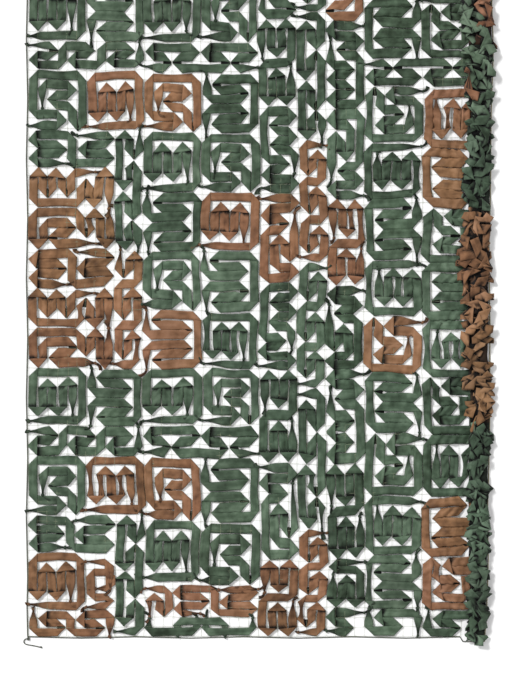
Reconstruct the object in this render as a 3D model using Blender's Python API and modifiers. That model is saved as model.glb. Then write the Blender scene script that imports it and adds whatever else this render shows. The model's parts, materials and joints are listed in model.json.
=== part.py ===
"""Camouflage net, 2.4 m wide as it lies (3.1 m unfolded) and 3.4 m long.

A square-mesh base net carries cloth ribbons. Each ribbon is one long strip, as wide as a mesh, that is
laid through the meshes along a square-cornered route and folded over at 45 degrees at every turn. White
gaps stay where a turn cuts its outer corner. The net lies flat on z = 0, with its right-hand part pushed
together into a narrow stack of folds, and a rope runs round the whole edge.

The model is set out in cells of the base net: x to the right, y towards the far end, from the near left
corner. Each panel is the laid cloth of a few neighbouring ribbons of one colour, cut through at the gaps
that their routes leave.
"""

import math
import random
from collections import namedtuple

import bmesh
import bpy
from mathutils import Vector

# ---- driving dimensions, metres --------------------------------------------------------------------------

CELL = 0.050            # one mesh of the base net, and the width of a ribbon
CLOTH = 0.003           # laid cloth with its net cords
GAP = 0.0003            # between pieces that touch
GAP_EDGE = 0.004        # cloth kept round each gap, on every side
UNEVEN = 0.0022         # how far the corner of a gap may be off its place
MAX_GAPS = 300          # the largest ones are cut, the rest are left closed
CORNER_CUT = 0.80       # cells that a turn leaves open at a panel's outer corner

ROPE_RADIUS = 0.003
ROPE_WAVE = 0.007       # how far the edge rope wanders outwards between its ties
KNOT_RADIUS = 0.009     # corner knot, seen from above
KNOT_HEIGHT = 0.012
END_KNOT_RADIUS = 0.006
END_KNOT_HEIGHT = 0.009

# ---- the net's outline, cells ----------------------------------------------------------------------------

NEAR_EDGE = 0.05        # where the lowest ribbons start
FAR_EDGE = 68.4
FOLDS_START = 45.3      # here the flat part ends and the folded part begins

# ---- routes ----------------------------------------------------------------------------------------------
# A ribbon's route through the meshes: its field in cells, its first cell and its runs (r, l, u, d and a
# number of cells). The turns fall in the last cell of each run.

Route = namedtuple("Route", "wide high start runs")

ROUTES = {
    "frame_comb": Route(6, 6, (0, 0), "r5 u5 l5 d4 r1 u3 r1 d3 r1 u3 r1 d3"),
    "frame_zigzag": Route(6, 6, (0, 0), "r3 u1 l3 u4 r5 d5 l1 u2 l2 u1 r2 u1 l3 d2"),
    "side_stack": Route(6, 6, (0, 5), "d2 r4 u1 l3 u1 r4 d5 l4 u1 r3 u1 l4 d2"),
    "meander": Route(12, 3, (0, 2), "r2 d1 l2 d1 r3 u2 r3 d1 l2 d1 r3 u2 r3 d1 l2 d1 r3 u2"),
    "step_meander": Route(12, 3, (0, 0), "r2 u1 l2 u1 r5 d1 l2 d1 r5 u1 l2 u1 r5 d1 l2 d1 r2"),
    "double_e": Route(9, 4, (3, 0), "l3 u1 r3 u1 l3 u1 r4 d3 r4 u1 l3 u1 r3 u1 l3"),
    "ring_comb": Route(9, 4, (6, 0), "l4 u1 r2 u1 l3 d2 l1 u3 r5 d2 r1 u2 r1 d3 r1 u3"),
    "tall_comb": Route(9, 4, (6, 3), "l2 d2 l1 u2 l1 d2 l1 u2 l1 d3 r5 u2 r1 d2 r1 u3 r1 d3"),
    "chain": Route(3, 12, (2, 11), "d2 l1 u2 l1 d5 r1 u2 r1 d5 l1 u2 l1 d5 r1 u2 r1 d2"),
    "chain_topped": Route(3, 13, (0, 12), "r2 d3 l1 u2 l1 d5 r1 u2 r1 d5 l1 u2 l1 d5 r1 u2 r1 d2"),
    "chain_foot": Route(3, 13, (2, 12), "d2 l1 u2 l1 d5 r1 u2 r1 d5 l1 u2 l1 d5 r1 u2 r1 d3 l2"),
    "loops": Route(3, 13, (2, 12), "l2 d3 r1 u2 r1 d3 l2 d3 r1 u2 r1 d3 l2 d3 r1 u2 r1 d3 l2"),
    "loops_open": Route(3, 12, (0, 11), "d2 r1 u2 r1 d3 l2 d3 r1 u2 r1 d3 l2 d3 r1 u2 r1 d3 l2"),
    "comb": Route(4, 9, (0, 5), "u3 r1 d3 r1 u3 r1 d4 l3 d4 r1 u3 r1 d3 r1 u3"),
    "zigzag": Route(4, 9, (0, 0), "r3 u1 l3 u1 r2 u1 l2 u5 r3 d1 l2 d1 r2 d1 l2 d1 r2 d2"),
    "hook": Route(4, 9, (0, 8), "r3 d1 l3 d1 r2 d1 l2 d5 r3 u1 l2 u3 r1 d2 r1 u4"),
    "short_comb": Route(4, 6, (3, 5), "l3 d1 r3 d4 l1 u3 l1 d3 l1 u3"),
    "waves": Route(9, 3, (0, 2), "d2 r3 u1 l2 u1 r3 d2 r3 u1 l2 u1 r3 d2"),
    "pocket": Route(3, 5, (0, 0), "r2 u1 l2 u3 r2 d2 l1"),
    "bow": Route(3, 4, (0, 3), "r2 d3 l1 u2 l1 d2"),
    "band": Route(9, 4, (2, 0), "l2 u1 r3 u1 l3 u1 r4 d3 r4 u1 l3 u1 r3 u1 l3"),
    "foot": Route(12, 2, (0, 1), "d1 r11 u1 l8"),
    "bracket": Route(4, 3, (3, 2), "l3 d1 r2 d1 l2"),
    "side_waves": Route(6, 3, (0, 2), "d2 r3 u1 l2 u1 r4 d2"),
    "cap_four": Route(4, 4, (0, 3), "d3 r3 u1 l2 u2 r2"),
    "cap_three": Route(3, 4, (0, 0), "r2 u2 l1 d1 l1 u2 r2"),
    "cap_six": Route(6, 2, (0, 0), "r5 u1 l5"),
    "cap_side": Route(6, 3, (0, 0), "r5 u2 l5 d1 r3"),
}

STEPS = {"r": (1, 0), "l": (-1, 0), "u": (0, 1), "d": (0, -1)}

# ---- panels ----------------------------------------------------------------------------------------------
# Each panel lists its ribbons from the near end to the far end. turn is "" as drawn, "across" mirrored
# left to right, "over" mirrored near to far, "round" both.

Ribbon = namedtuple("Ribbon", "route turn column low high")

PANELS = {
    "green_a1": (
        Ribbon("double_e", "", 0, 8.7, 12.6),
        Ribbon("frame_zigzag", "", 0, 12.6, 18.85),
        Ribbon("meander", "", 0, 18.85, 21.95),
        Ribbon("frame_comb", "", 0, 21.95, 28.0),
    ),
    "green_a2": (
        Ribbon("double_e", "", 0, 48.8, 52.7),
        Ribbon("frame_zigzag", "", 0, 52.7, 59.15),
        Ribbon("meander", "", 0, 59.15, 62.0),
        Ribbon("frame_comb", "", 0, 62.0, FAR_EDGE),
    ),
    "brown_a1": (
        Ribbon("waves", "", 0, NEAR_EDGE, 2.9),
        Ribbon("frame_comb", "", 0, 2.9, 8.7),
    ),
    "brown_a2": (Ribbon("pocket", "", 6, 2.9, 8.2),),
    "brown_a3": (
        Ribbon("ring_comb", "", 0, 28.0, 32.2),
        Ribbon("tall_comb", "", 0, 32.2, 36.3),
        Ribbon("double_e", "", 0, 36.3, 40.4),
    ),
    "brown_a4": (
        Ribbon("ring_comb", "", 0, 40.4, 44.6),
        Ribbon("tall_comb", "", 0, 44.6, 48.8),
    ),
    "green_b1": (Ribbon("chain_foot", "", 9, NEAR_EDGE, 12.6),),
    "brown_b1": (Ribbon("frame_comb", "", 6, 12.6, 18.85),),
    "green_b2": (Ribbon("side_stack", "", 6, 21.95, 28.0),),
    "brown_b2": (Ribbon("loops_open", "", 9, 28.0, 40.2),),
    "green_b3": (Ribbon("chain", "", 9, 40.2, 52.7),),
    "brown_b3": (Ribbon("frame_comb", "", 6, 52.7, 58.9),),
    "green_b4": (Ribbon("side_stack", "", 6, 62.0, FAR_EDGE),),
    "green_c1": (Ribbon("foot", "", 12, NEAR_EDGE, 2.0),),
    "brown_c0": (Ribbon("bow", "", 12, 2.0, 5.4),),
    "brown_c1": (Ribbon("band", "", 15, 2.0, 5.4),),
    "green_c2": (Ribbon("frame_comb", "", 12, 5.6, 12.1),),
    "brown_c2": (Ribbon("frame_zigzag", "", 12, 12.1, 18.65),),
    "green_c3": (
        Ribbon("step_meander", "", 12, 18.65, 21.95),
        Ribbon("frame_comb", "", 12, 21.95, 27.9),
    ),
    "brown_c3": (Ribbon("side_stack", "", 12, 27.9, 33.95),),
    "green_c4": (
        Ribbon("frame_zigzag", "", 12, 33.95, 40.0),
        Ribbon("side_stack", "", 12, 40.0, 46.25),
        Ribbon("frame_comb", "", 12, 46.25, 52.6),
    ),
    "brown_c4": (Ribbon("frame_zigzag", "", 12, 52.6, 58.75),),
    "green_c5": (
        Ribbon("step_meander", "", 12, 58.75, 61.95),
        Ribbon("frame_comb", "", 12, 61.95, FAR_EDGE),
    ),
    "green_d1": (
        Ribbon("frame_zigzag", "", 18, 5.4, 11.75),
        Ribbon("side_stack", "", 18, 11.75, 18.65),
    ),
    "green_d2": (
        Ribbon("frame_zigzag", "", 18, 21.95, 27.95),
        Ribbon("frame_comb", "", 18, 27.95, 33.9),
        Ribbon("side_stack", "", 18, 33.9, 40.15),
    ),
    "brown_d1": (Ribbon("frame_comb", "", 18, 40.15, 46.25),),
    "green_d3": (
        Ribbon("frame_zigzag", "", 18, 46.25, 52.4),
        Ribbon("side_stack", "", 18, 52.4, 58.7),
    ),
    "green_d4": (Ribbon("frame_zigzag", "", 18, 61.95, FAR_EDGE),),
    "brown_e1": (Ribbon("comb", "", 24, NEAR_EDGE, 8.05),),
    "green_e1": (
        Ribbon("hook", "", 24, 8.05, 18.15),
        Ribbon("comb", "", 24, 18.15, 27.8),
        Ribbon("zigzag", "", 24, 27.8, 36.75),
    ),
    "brown_e2": (Ribbon("hook", "", 24, 36.75, 46.0),),
    "green_e2": (
        Ribbon("zigzag", "", 24, 46.0, 55.25),
        Ribbon("comb", "", 24, 55.25, 64.25),
        Ribbon("cap_four", "", 24, 64.25, FAR_EDGE),
    ),
    "brown_f1": (Ribbon("loops", "", 28, NEAR_EDGE, 11.3),),
    "green_f1": (
        Ribbon("chain_topped", "", 28, 11.3, 25.75),
        Ribbon("loops", "", 28, 25.75, 38.9),
    ),
    "brown_f2": (Ribbon("loops", "", 28, 38.9, 51.8),),
    "green_f2": (
        Ribbon("chain_topped", "", 28, 51.8, 65.05),
        Ribbon("cap_three", "", 28, 65.05, FAR_EDGE),
    ),
    "green_g1": (
        Ribbon("bracket", "", 31, NEAR_EDGE, 3.0),
        Ribbon("short_comb", "", 31, 3.0, 8.2),
        Ribbon("comb", "", 31, 8.2, 18.1),
        Ribbon("zigzag", "round", 31, 18.1, 27.75),
        Ribbon("hook", "across", 31, 27.75, 36.6),
    ),
    "brown_g1": (Ribbon("comb", "", 31, 36.6, 45.55),),
    "green_g2": (
        Ribbon("hook", "round", 31, 45.55, 54.95),
        Ribbon("zigzag", "round", 31, 54.95, 64.05),
    ),
    "brown_g2": (Ribbon("cap_four", "across", 31, 64.05, FAR_EDGE),),
    "green_h1": (
        Ribbon("side_waves", "", 35, NEAR_EDGE, 2.9),
        Ribbon("side_stack", "across", 35, 2.9, 8.45),
        Ribbon("frame_comb", "round", 35, 8.45, 14.65),
        Ribbon("frame_zigzag", "round", 35, 14.65, 21.1),
        Ribbon("side_stack", "across", 35, 21.1, 27.4),
    ),
    "brown_h1": (Ribbon("frame_zigzag", "round", 35, 27.4, 33.4),),
    "green_h2": (
        Ribbon("frame_comb", "round", 35, 33.4, 39.25),
        Ribbon("side_stack", "across", 35, 39.25, 45.55),
        Ribbon("frame_comb", "round", 35, 45.55, 51.45),
        Ribbon("frame_zigzag", "round", 35, 51.45, 57.2),
    ),
    "green_h3": (
        Ribbon("step_meander", "over", 35, 57.2, 60.2),
        Ribbon("side_stack", "across", 35, 60.2, 66.5),
        Ribbon("cap_six", "", 35, 66.5, FAR_EDGE),
    ),
    "green_i1": (Ribbon("side_waves", "", 41, NEAR_EDGE, 2.7),),
    "brown_i1": (
        Ribbon("frame_zigzag", "round", 41, 2.7, 8.35),
        Ribbon("side_stack", "across", 41, 8.35, 14.55),
    ),
    "green_i2": (
        Ribbon("frame_comb", "round", 41, 14.55, 20.95),
        Ribbon("frame_zigzag", "round", 41, 20.95, 27.1),
        Ribbon("frame_comb", "round", 41, 27.1, 33.0),
        Ribbon("side_stack", "across", 41, 33.0, 38.9),
        Ribbon("frame_zigzag", "round", 41, 38.9, 44.5),
    ),
    "brown_i2": (
        Ribbon("side_stack", "across", 41, 44.5, 50.8),
        Ribbon("frame_comb", "round", 41, 50.8, 57.0),
    ),
    "green_i3": (
        Ribbon("frame_zigzag", "round", 41, 60.2, 65.9),
        Ribbon("cap_side", "", 41, 65.9, FAR_EDGE),
    ),
}

# ---- the folded part -------------------------------------------------------------------------------------
# How far the stack of folds reaches to the left and right along the net, in cells.

Reach = namedtuple("Reach", "row left right")

FOLDS_REACH = (
    Reach(-0.5, 45.5, 47.5),
    Reach(3.0, 45.6, 47.7),
    Reach(9.0, 45.7, 47.9),
    Reach(14.0, 45.6, 47.8),
    Reach(19.0, 45.7, 48.0),
    Reach(24.0, 45.6, 48.2),
    Reach(28.5, 45.1, 48.0),
    Reach(34.0, 45.2, 48.0),
    Reach(40.0, 44.7, 48.0),
    Reach(45.0, 45.2, 48.1),
    Reach(51.0, 45.5, 48.2),
    Reach(56.5, 45.6, 48.2),
    Reach(61.0, 45.3, 48.4),
    Reach(68.4, 45.5, 48.2),
)

# One row for each fold above the bottom layer, from the lowest: where its two ends lie, as shares of the
# reach, how much they wander, and how often.

Fold = namedtuple("Fold", "left right wander wave")

FOLDS = (
    Fold(0.04, 1.00, 0.00, 7.0),
    Fold(0.04, 0.88, 0.05, 5.2),
    Fold(0.20, 0.88, 0.07, 4.1),
    Fold(0.20, 0.97, 0.06, 6.3),
    Fold(0.42, 0.97, 0.08, 3.6),
)

LAYER_STEP = 0.0095     # from one layer of the stack to the next
LAYER_BUMP = 0.0016     # unevenness of a layer
ROW_STEP = 1.45         # cells between the sections of the stack
FOLDS_GAP = 0.0007      # between two lengths of the stack

FOLDED_LENGTHS = {
    "folds_green_near": (-0.5, 22.3),
    "folds_brown_middle": (22.3, 44.7),
    "folds_green_far": (44.7, 61.6),
    "folds_brown_far": (61.6, FAR_EDGE),
}

# ---- the loose rope end, cells ---------------------------------------------------------------------------

CORNER_KNOT = (0.0, -0.233)  # it lies against the near run of the edge rope
LOOSE_END = ((-0.192, -0.233), (-0.32, -0.27), (-0.46, -0.46), (-0.39, -0.71), (-0.1, -0.84), (0.3, -0.91),
             (0.75, -0.99), (1.2, -1.1))
END_KNOT_OFFSET = 0.13  # from the last point of the loose end to the middle of its knot, cells

# ---- colours ---------------------------------------------------------------------------------------------

FINISHES = {
    "green_cloth": ((0.072, 0.135, 0.090, 1.0), 0.75),
    "brown_cloth": ((0.270, 0.125, 0.070, 1.0), 0.75),
    "rope": ((0.050, 0.055, 0.045, 1.0), 0.90),
}


def clear_scene():
    for obj in list(bpy.data.objects):
        bpy.data.objects.remove(obj, do_unlink=True)


def make_material(name):
    colour, roughness = FINISHES[name]
    material = bpy.data.materials.new(name)
    material.use_nodes = True
    shader = material.node_tree.nodes["Principled BSDF"]
    shader.inputs["Base Color"].default_value = colour
    shader.inputs["Roughness"].default_value = roughness
    shader.inputs["Metallic"].default_value = 0.0
    return material


def add_object(name, data, finish, collection, parent):
    obj = bpy.data.objects.new(name, data)
    data.materials.append(make_material(finish))
    collection.objects.link(obj)
    obj.parent = parent
    return obj


# ---- routes to gaps --------------------------------------------------------------------------------------

def route_cells(route):
    """The cells that a route visits, in order."""
    cells = [route.start]
    for run in route.runs.split():
        step = STEPS[run[0]]
        for _ in range(int(run[1:])):
            x, y = cells[-1]
            cells.append((x + step[0], y + step[1]))
    return cells


def covered_quarters(route):
    """The quarters of cells that the cloth covers: a cell is cut by its diagonals into r, l, u and d.

    A straight cell is covered whole. A turn covers the quarters at its way in and its way out.
    """
    cells = route_cells(route)
    side = {step: letter for letter, step in STEPS.items()}
    covered = set()
    for index, cell in enumerate(cells):
        if index in (0, len(cells) - 1):
            covered |= {(cell, letter) for letter in STEPS}
            continue
        before = cells[index - 1]
        after = cells[index + 1]
        way_in = side[(before[0] - cell[0], before[1] - cell[1])]
        way_out = side[(after[0] - cell[0], after[1] - cell[1])]
        straight = {way_in, way_out} in ({"r", "l"}, {"u", "d"})
        quarters = STEPS if straight else (way_in, way_out)
        covered |= {(cell, letter) for letter in quarters}
    return covered


def quarter_neighbours(quarter):
    """The three quarters that share an edge with one quarter."""
    (x, y), letter = quarter
    opposite = {"r": "l", "l": "r", "u": "d", "d": "u"}[letter]
    step = STEPS[letter]
    beside = ("u", "d") if letter in "rl" else ("r", "l")
    return [((x + step[0], y + step[1]), opposite)] + [((x, y), other) for other in beside]


def gap_regions(route):
    """The open quarters of a route's field, grouped where they share an edge."""
    covered = covered_quarters(route)
    field = [((x, y), letter) for x in range(route.wide) for y in range(route.high) for letter in "rlud"]
    open_quarters = {quarter for quarter in field if quarter not in covered}
    regions = []
    for first in field:
        if first not in open_quarters:
            continue
        region = []
        waiting = [first]
        open_quarters.discard(first)
        while waiting:
            quarter = waiting.pop()
            region.append(quarter)
            for other in quarter_neighbours(quarter):
                if other in open_quarters:
                    open_quarters.discard(other)
                    waiting.append(other)
        regions.append(region)
    return regions


def quarter_edges(quarter):
    """The three edges of a quarter, counter-clockwise."""
    (x, y), letter = quarter
    ends = {
        "r": ((x + 1, y), (x + 1, y + 1)),
        "l": ((x, y + 1), (x, y)),
        "u": ((x + 1, y + 1), (x, y + 1)),
        "d": ((x, y), (x + 1, y)),
    }[letter]
    centre = (x + 0.5, y + 0.5)
    return [(ends[0], ends[1]), (ends[1], centre), (centre, ends[0])]


def region_outline(region):
    """The corners of a region, counter-clockwise, without those in the middle of a straight side."""
    edges = set()
    for quarter in region:
        for start, end in quarter_edges(quarter):
            if (end, start) in edges:
                edges.discard((end, start))
            else:
                edges.add((start, end))
    follow = {}
    for start, end in edges:
        follow.setdefault(start, []).append(end)
    first = min(follow)
    outline = [first]
    here = follow[first].pop()
    while here != first:
        before = outline[-1]
        back = math.atan2(before[1] - here[1], before[0] - here[0])
        ways = follow[here]
        ways.sort(key=lambda end: (back - math.atan2(end[1] - here[1], end[0] - here[0])) % math.tau)
        outline.append(here)
        here = ways.pop(0)
    return drop_straight_points(outline)


def drop_straight_points(outline):
    kept = []
    for index, point in enumerate(outline):
        before = outline[index - 1]
        after = outline[(index + 1) % len(outline)]
        turn = (point[0] - before[0]) * (after[1] - point[1]) - (point[1] - before[1]) * (after[0] - point[0])
        if abs(turn) > 1e-9:
            kept.append(point)
    return kept


def polygon_area(outline):
    total = 0.0
    for index, (x, y) in enumerate(outline):
        next_x, next_y = outline[(index + 1) % len(outline)]
        total += x * next_y - next_x * y
    return total / 2


def clip_right(outline, limit):
    """The part of an outline that lies left of x = limit."""
    kept = []
    for index, point in enumerate(outline):
        before = outline[index - 1]
        if (point[0] <= limit) != (before[0] <= limit):
            share = (limit - before[0]) / (point[0] - before[0])
            kept.append((limit, before[1] + share * (point[1] - before[1])))
        if point[0] <= limit:
            kept.append(point)
    return kept


def shrink(outline, distance):
    """The outline with each side moved inwards."""
    sides = []
    for index, (x, y) in enumerate(outline):
        next_x, next_y = outline[(index + 1) % len(outline)]
        along = Vector((next_x - x, next_y - y)).normalized()
        inwards = Vector((-along.y, along.x))
        sides.append((Vector((x, y)) + inwards * distance, along))
    shrunk = []
    for index, (point, along) in enumerate(sides):
        before_point, before_along = sides[index - 1]
        cross = before_along.x * along.y - before_along.y * along.x
        offset = point - before_point
        travel = (offset.x * along.y - offset.y * along.x) / cross
        shrunk.append(tuple(before_point + before_along * travel))
    return shrunk


# ---- ribbons on the net ----------------------------------------------------------------------------------

def place(ribbon, point):
    """A point of a route's field, in metres on the net."""
    route = ROUTES[ribbon.route]
    x, y = point
    if ribbon.turn in ("across", "round"):
        x = route.wide - x
    if ribbon.turn in ("over", "round"):
        y = route.high - y
    scale = (ribbon.high - ribbon.low) / route.high
    return ((ribbon.column + x) * CELL, (ribbon.low + y * scale) * CELL)


def field_corners(route):
    """The corners of a route's field, counter-clockwise from the lower left."""
    return [(0, 0), (route.wide, 0), (route.wide, route.high), (0, route.high)]


def placed_gaps(ribbon):
    """A ribbon's gaps in metres, and which corners of its field a turn leaves open."""
    route = ROUTES[ribbon.route]
    corners = field_corners(route)
    open_corners = set()
    gaps = []
    for region in gap_regions(route):
        outline = region_outline(region)
        at_corner = [corner for corner in corners if corner in outline]
        if len(region) == 2 and at_corner:
            open_corners.add(place(ribbon, at_corner[0]))
            continue
        placed = [place(ribbon, point) for point in outline]
        if polygon_area(placed) < 0:
            placed.reverse()
        placed = drop_straight_points(clip_right(placed, FOLDS_START * CELL))
        if len(placed) >= 3:
            gaps.append(placed)
    return gaps, open_corners


def side_points(ribbon, right, open_corners):
    """One long side of a ribbon's field, from the near end to the far end."""
    route = ROUTES[ribbon.route]
    x = (ribbon.column + (route.wide if right else 0)) * CELL
    low = ribbon.low * CELL
    high = ribbon.high * CELL
    cut = CORNER_CUT * CELL
    inner = x - cut if right else x + cut
    limit = FOLDS_START * CELL
    if x > limit:
        return [(limit - GAP / 2, low), (limit - GAP / 2, high)]
    x += -GAP / 2 if right else GAP / 2
    is_open = [any(math.dist(corner, (x, y)) < GAP for corner in open_corners) for y in (low, high)]
    points = [(inner, low), (x, low + cut)] if is_open[0] else [(x, low)]
    points += [(x, high - cut), (inner, high)] if is_open[1] else [(x, high)]
    return points


def panel_outline(ribbons):
    """The outline of a stack of ribbons, counter-clockwise, half a gap inside its neighbours."""
    right = []
    left = []
    for ribbon in ribbons:
        _, open_corners = placed_gaps(ribbon)
        right += side_points(ribbon, True, open_corners)
        left += side_points(ribbon, False, open_corners)
    outline = []
    for point in right + left[::-1]:
        if not outline or math.dist(point, outline[-1]) > GAP:
            outline.append(point)
    low = ribbons[0].low * CELL
    high = ribbons[-1].high * CELL
    return [(x, min(max(y, low + GAP / 2), high - GAP / 2)) for x, y in outline]


def largest_gaps():
    """The gaps that are cut, for each panel: no more than MAX_GAPS in all."""
    every = []
    for name, ribbons in PANELS.items():
        for ribbon in ribbons:
            gaps, _ = placed_gaps(ribbon)
            every += [(polygon_area(gap), name, gap) for gap in gaps]
    every.sort(key=lambda entry: -entry[0])
    chosen = {name: [] for name in PANELS}
    for _, name, gap in every[:MAX_GAPS]:
        chosen[name].append(gap)
    return chosen


def uneven(outline, chance):
    return [(x + chance.uniform(-UNEVEN, UNEVEN), y + chance.uniform(-UNEVEN, UNEVEN)) for x, y in outline]


def add_outline(curve, outline):
    spline = curve.splines.new("POLY")
    spline.points.add(len(outline) - 1)
    for point, (x, y) in zip(spline.points, outline):
        point.co = (x, y, 0.0, 1.0)
    spline.use_cyclic_u = True


def make_panel(name, gaps, chance, collection, parent):
    """The laid cloth of a few ribbons: a flat outline with its gaps, given the cloth's thickness."""
    curve = bpy.data.curves.new(name, "CURVE")
    curve.dimensions = "2D"
    curve.fill_mode = "BOTH"
    curve.extrude = CLOTH / 2
    add_outline(curve, panel_outline(PANELS[name]))
    for gap in gaps:
        add_outline(curve, uneven(shrink(gap, GAP_EDGE), chance))
    finish = "brown_cloth" if name.startswith("brown") else "green_cloth"
    obj = add_object(name, curve, finish, collection, parent)
    obj.location.z = CLOTH / 2
    return obj


# ---- the folded part -------------------------------------------------------------------------------------

def folds_reach(row):
    """Where the stack of folds starts and ends at one row, in cells."""
    for before, after in zip(FOLDS_REACH, FOLDS_REACH[1:]):
        if row <= after.row:
            share = (row - before.row) / (after.row - before.row)
            left = before.left + share * (after.left - before.left)
            right = before.right + share * (after.right - before.right)
            return left, right
    return FOLDS_REACH[-1].left, FOLDS_REACH[-1].right


def fold_ends(row):
    """The x of each end of the folds at one row, in cells, from the bottom one up."""
    left, right = folds_reach(row)
    ends = [(FOLDS_START, right)]
    for fold in FOLDS:
        sway = fold.wander * math.sin(math.tau * row / fold.wave)
        ends.append((left + (fold.left + sway) * (right - left), left + (fold.right + sway) * (right - left)))
    return ends


def fold_section(row):
    """The middle line of the folded net across one row, in metres: a back-and-forth stack of layers."""
    ends = fold_ends(row)
    section = []
    for layer, (left, right) in enumerate(ends):
        height = CLOTH / 2 + layer * LAYER_STEP
        if layer == 0:
            section += [(left * CELL, height), ((right - 0.15) * CELL, height)]
            nose = right
        else:
            rightwards = layer % 2 == 0
            start, end = (left, right) if rightwards else (right, left)
            start = nose + (0.15 if rightwards else -0.15)
            for share in (0.0, 0.33, 0.67, 1.0):
                x = start + share * (end - start)
                bump = LAYER_BUMP * math.sin(2.3 * row + 5.0 * share + 1.7 * layer)
                section.append((x * CELL, height + bump))
            nose = end + (0.15 if rightwards else -0.15)
        if layer < len(ends) - 1:
            section.append((nose * CELL, height + LAYER_STEP / 2))
    return section


def make_folds(name, collection, parent):
    """One length of the folded part: an open sheet on its folds, thickened."""
    start, end = FOLDED_LENGTHS[name]
    count = round((end - start) / ROW_STEP)
    margin = FOLDS_GAP / CELL / 2
    first = start + margin
    step = (end - start - 2 * margin) / count
    sections = [fold_section(first + index * step) for index in range(count + 1)]
    sheet = bmesh.new()
    bmesh.ops.create_grid(sheet, x_segments=len(sections[0]) - 1, y_segments=count, size=1.0)
    rows = sorted({round(vertex.co.y, 5) for vertex in sheet.verts})
    columns = sorted({round(vertex.co.x, 5) for vertex in sheet.verts})
    for vertex in sheet.verts:
        row = rows.index(round(vertex.co.y, 5))
        x, z = sections[row][columns.index(round(vertex.co.x, 5))]
        vertex.co = (x, (first + row * step) * CELL, z)
    mesh = bpy.data.meshes.new(name)
    sheet.to_mesh(mesh)
    sheet.free()
    finish = "brown_cloth" if "brown" in name else "green_cloth"
    obj = add_object(name, mesh, finish, collection, parent)
    thick = obj.modifiers.new("cloth", "SOLIDIFY")
    thick.thickness = CLOTH
    thick.offset = 0.0
    thick.use_even_offset = True
    return obj


# ---- rope and knots --------------------------------------------------------------------------------------

def wandering(count, start, end, outwards, phase):
    """Points from start to end, a little outside the straight line between the ties."""
    points = []
    for index in range(count):
        share = index / count
        wave = ROPE_WAVE * (0.5 - 0.5 * math.cos(math.tau * (share * count / 4 + phase)))
        x = start[0] + share * (end[0] - start[0]) + outwards[0] * wave
        y = start[1] + share * (end[1] - start[1]) + outwards[1] * wave
        points.append((x, y))
    return points


def edge_rope_points():
    """The rope's route round the net, in metres, counter-clockwise from the near left corner."""
    off = ROPE_RADIUS + GAP
    near = NEAR_EDGE * CELL - off
    far = FAR_EDGE * CELL + off
    round_folds = FOLDED_LENGTHS["folds_green_near"][0] * CELL - off
    folds_left = (FOLDS_START - 0.35) * CELL
    points = wandering(16, (-off, near), (folds_left, near), (0, -1), 0.0)
    points += [(folds_left, near), (folds_left + 0.3 * CELL, round_folds)]
    beside = CLOTH / 2 + off + GAP
    count = 30
    bottom = FOLDED_LENGTHS["folds_green_near"][0]
    for index in range(count + 1):
        row = bottom + index / count * (FAR_EDGE - bottom)
        x = folds_reach(row)[1] * CELL + beside
        y = round_folds if index == 0 else row * CELL
        points.append((x, far if index == count else y))
    points += wandering(10, (FOLDS_START * CELL, far), (-off, far), (0, 1), 0.0)
    points += wandering(22, (-off, far), (-off, near), (-1, 0), 0.0)
    return points


def smooth_route(knots, spacing):
    """Points along a smooth curve through the knots, about one spacing apart."""
    ends = [knots[0]] + list(knots) + [knots[-1]]
    points = []
    for before, start, end, after in zip(ends, ends[1:], ends[2:], ends[3:]):
        steps = max(1, round(math.dist(start, end) / spacing))
        for index in range(steps):
            t = index / steps
            point = []
            for p0, p1, p2, p3 in zip(before, start, end, after):
                point.append(0.5 * (2 * p1 + (p2 - p0) * t + (2 * p0 - 5 * p1 + 4 * p2 - p3) * t ** 2
                                    + (3 * p1 - p0 - 3 * p2 + p3) * t ** 3))
            points.append(tuple(point))
    points.append(knots[-1])
    return points


def make_rope(name, points, closed, collection, parent):
    curve = bpy.data.curves.new(name, "CURVE")
    curve.dimensions = "3D"
    curve.bevel_depth = ROPE_RADIUS
    curve.bevel_resolution = 2
    curve.use_fill_caps = not closed
    spline = curve.splines.new("POLY")
    spline.points.add(len(points) - 1)
    for point, (x, y) in zip(spline.points, points):
        point.co = (x, y, 0.0, 1.0)
    spline.use_cyclic_u = closed
    obj = add_object(name, curve, "rope", collection, parent)
    obj.location.z = ROPE_RADIUS
    return obj


def make_knot(name, centre, radius, height, collection, parent):
    """A pulled-tight knot: a low round lump."""
    lump = bmesh.new()
    bmesh.ops.create_uvsphere(lump, u_segments=12, v_segments=8, radius=radius)
    bmesh.ops.scale(lump, vec=(1.0, 1.0, height / 2 / radius), verts=lump.verts)
    mesh = bpy.data.meshes.new(name)
    lump.to_mesh(mesh)
    lump.free()
    mesh.shade_smooth()
    obj = add_object(name, mesh, "rope", collection, parent)
    obj.location = (centre[0] * CELL, centre[1] * CELL, height / 2)
    return obj


def middle_of(objects):
    """The middle, seen from above, of the box round the objects."""
    corners = []
    graph = bpy.context.evaluated_depsgraph_get()
    for obj in objects:
        solid = obj.evaluated_get(graph)
        corners += [solid.matrix_world @ Vector(corner) for corner in solid.bound_box]
    middle = [(min(c[axis] for c in corners) + max(c[axis] for c in corners)) / 2 for axis in (0, 1)]
    return Vector((middle[0], middle[1], 0.0))


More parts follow.
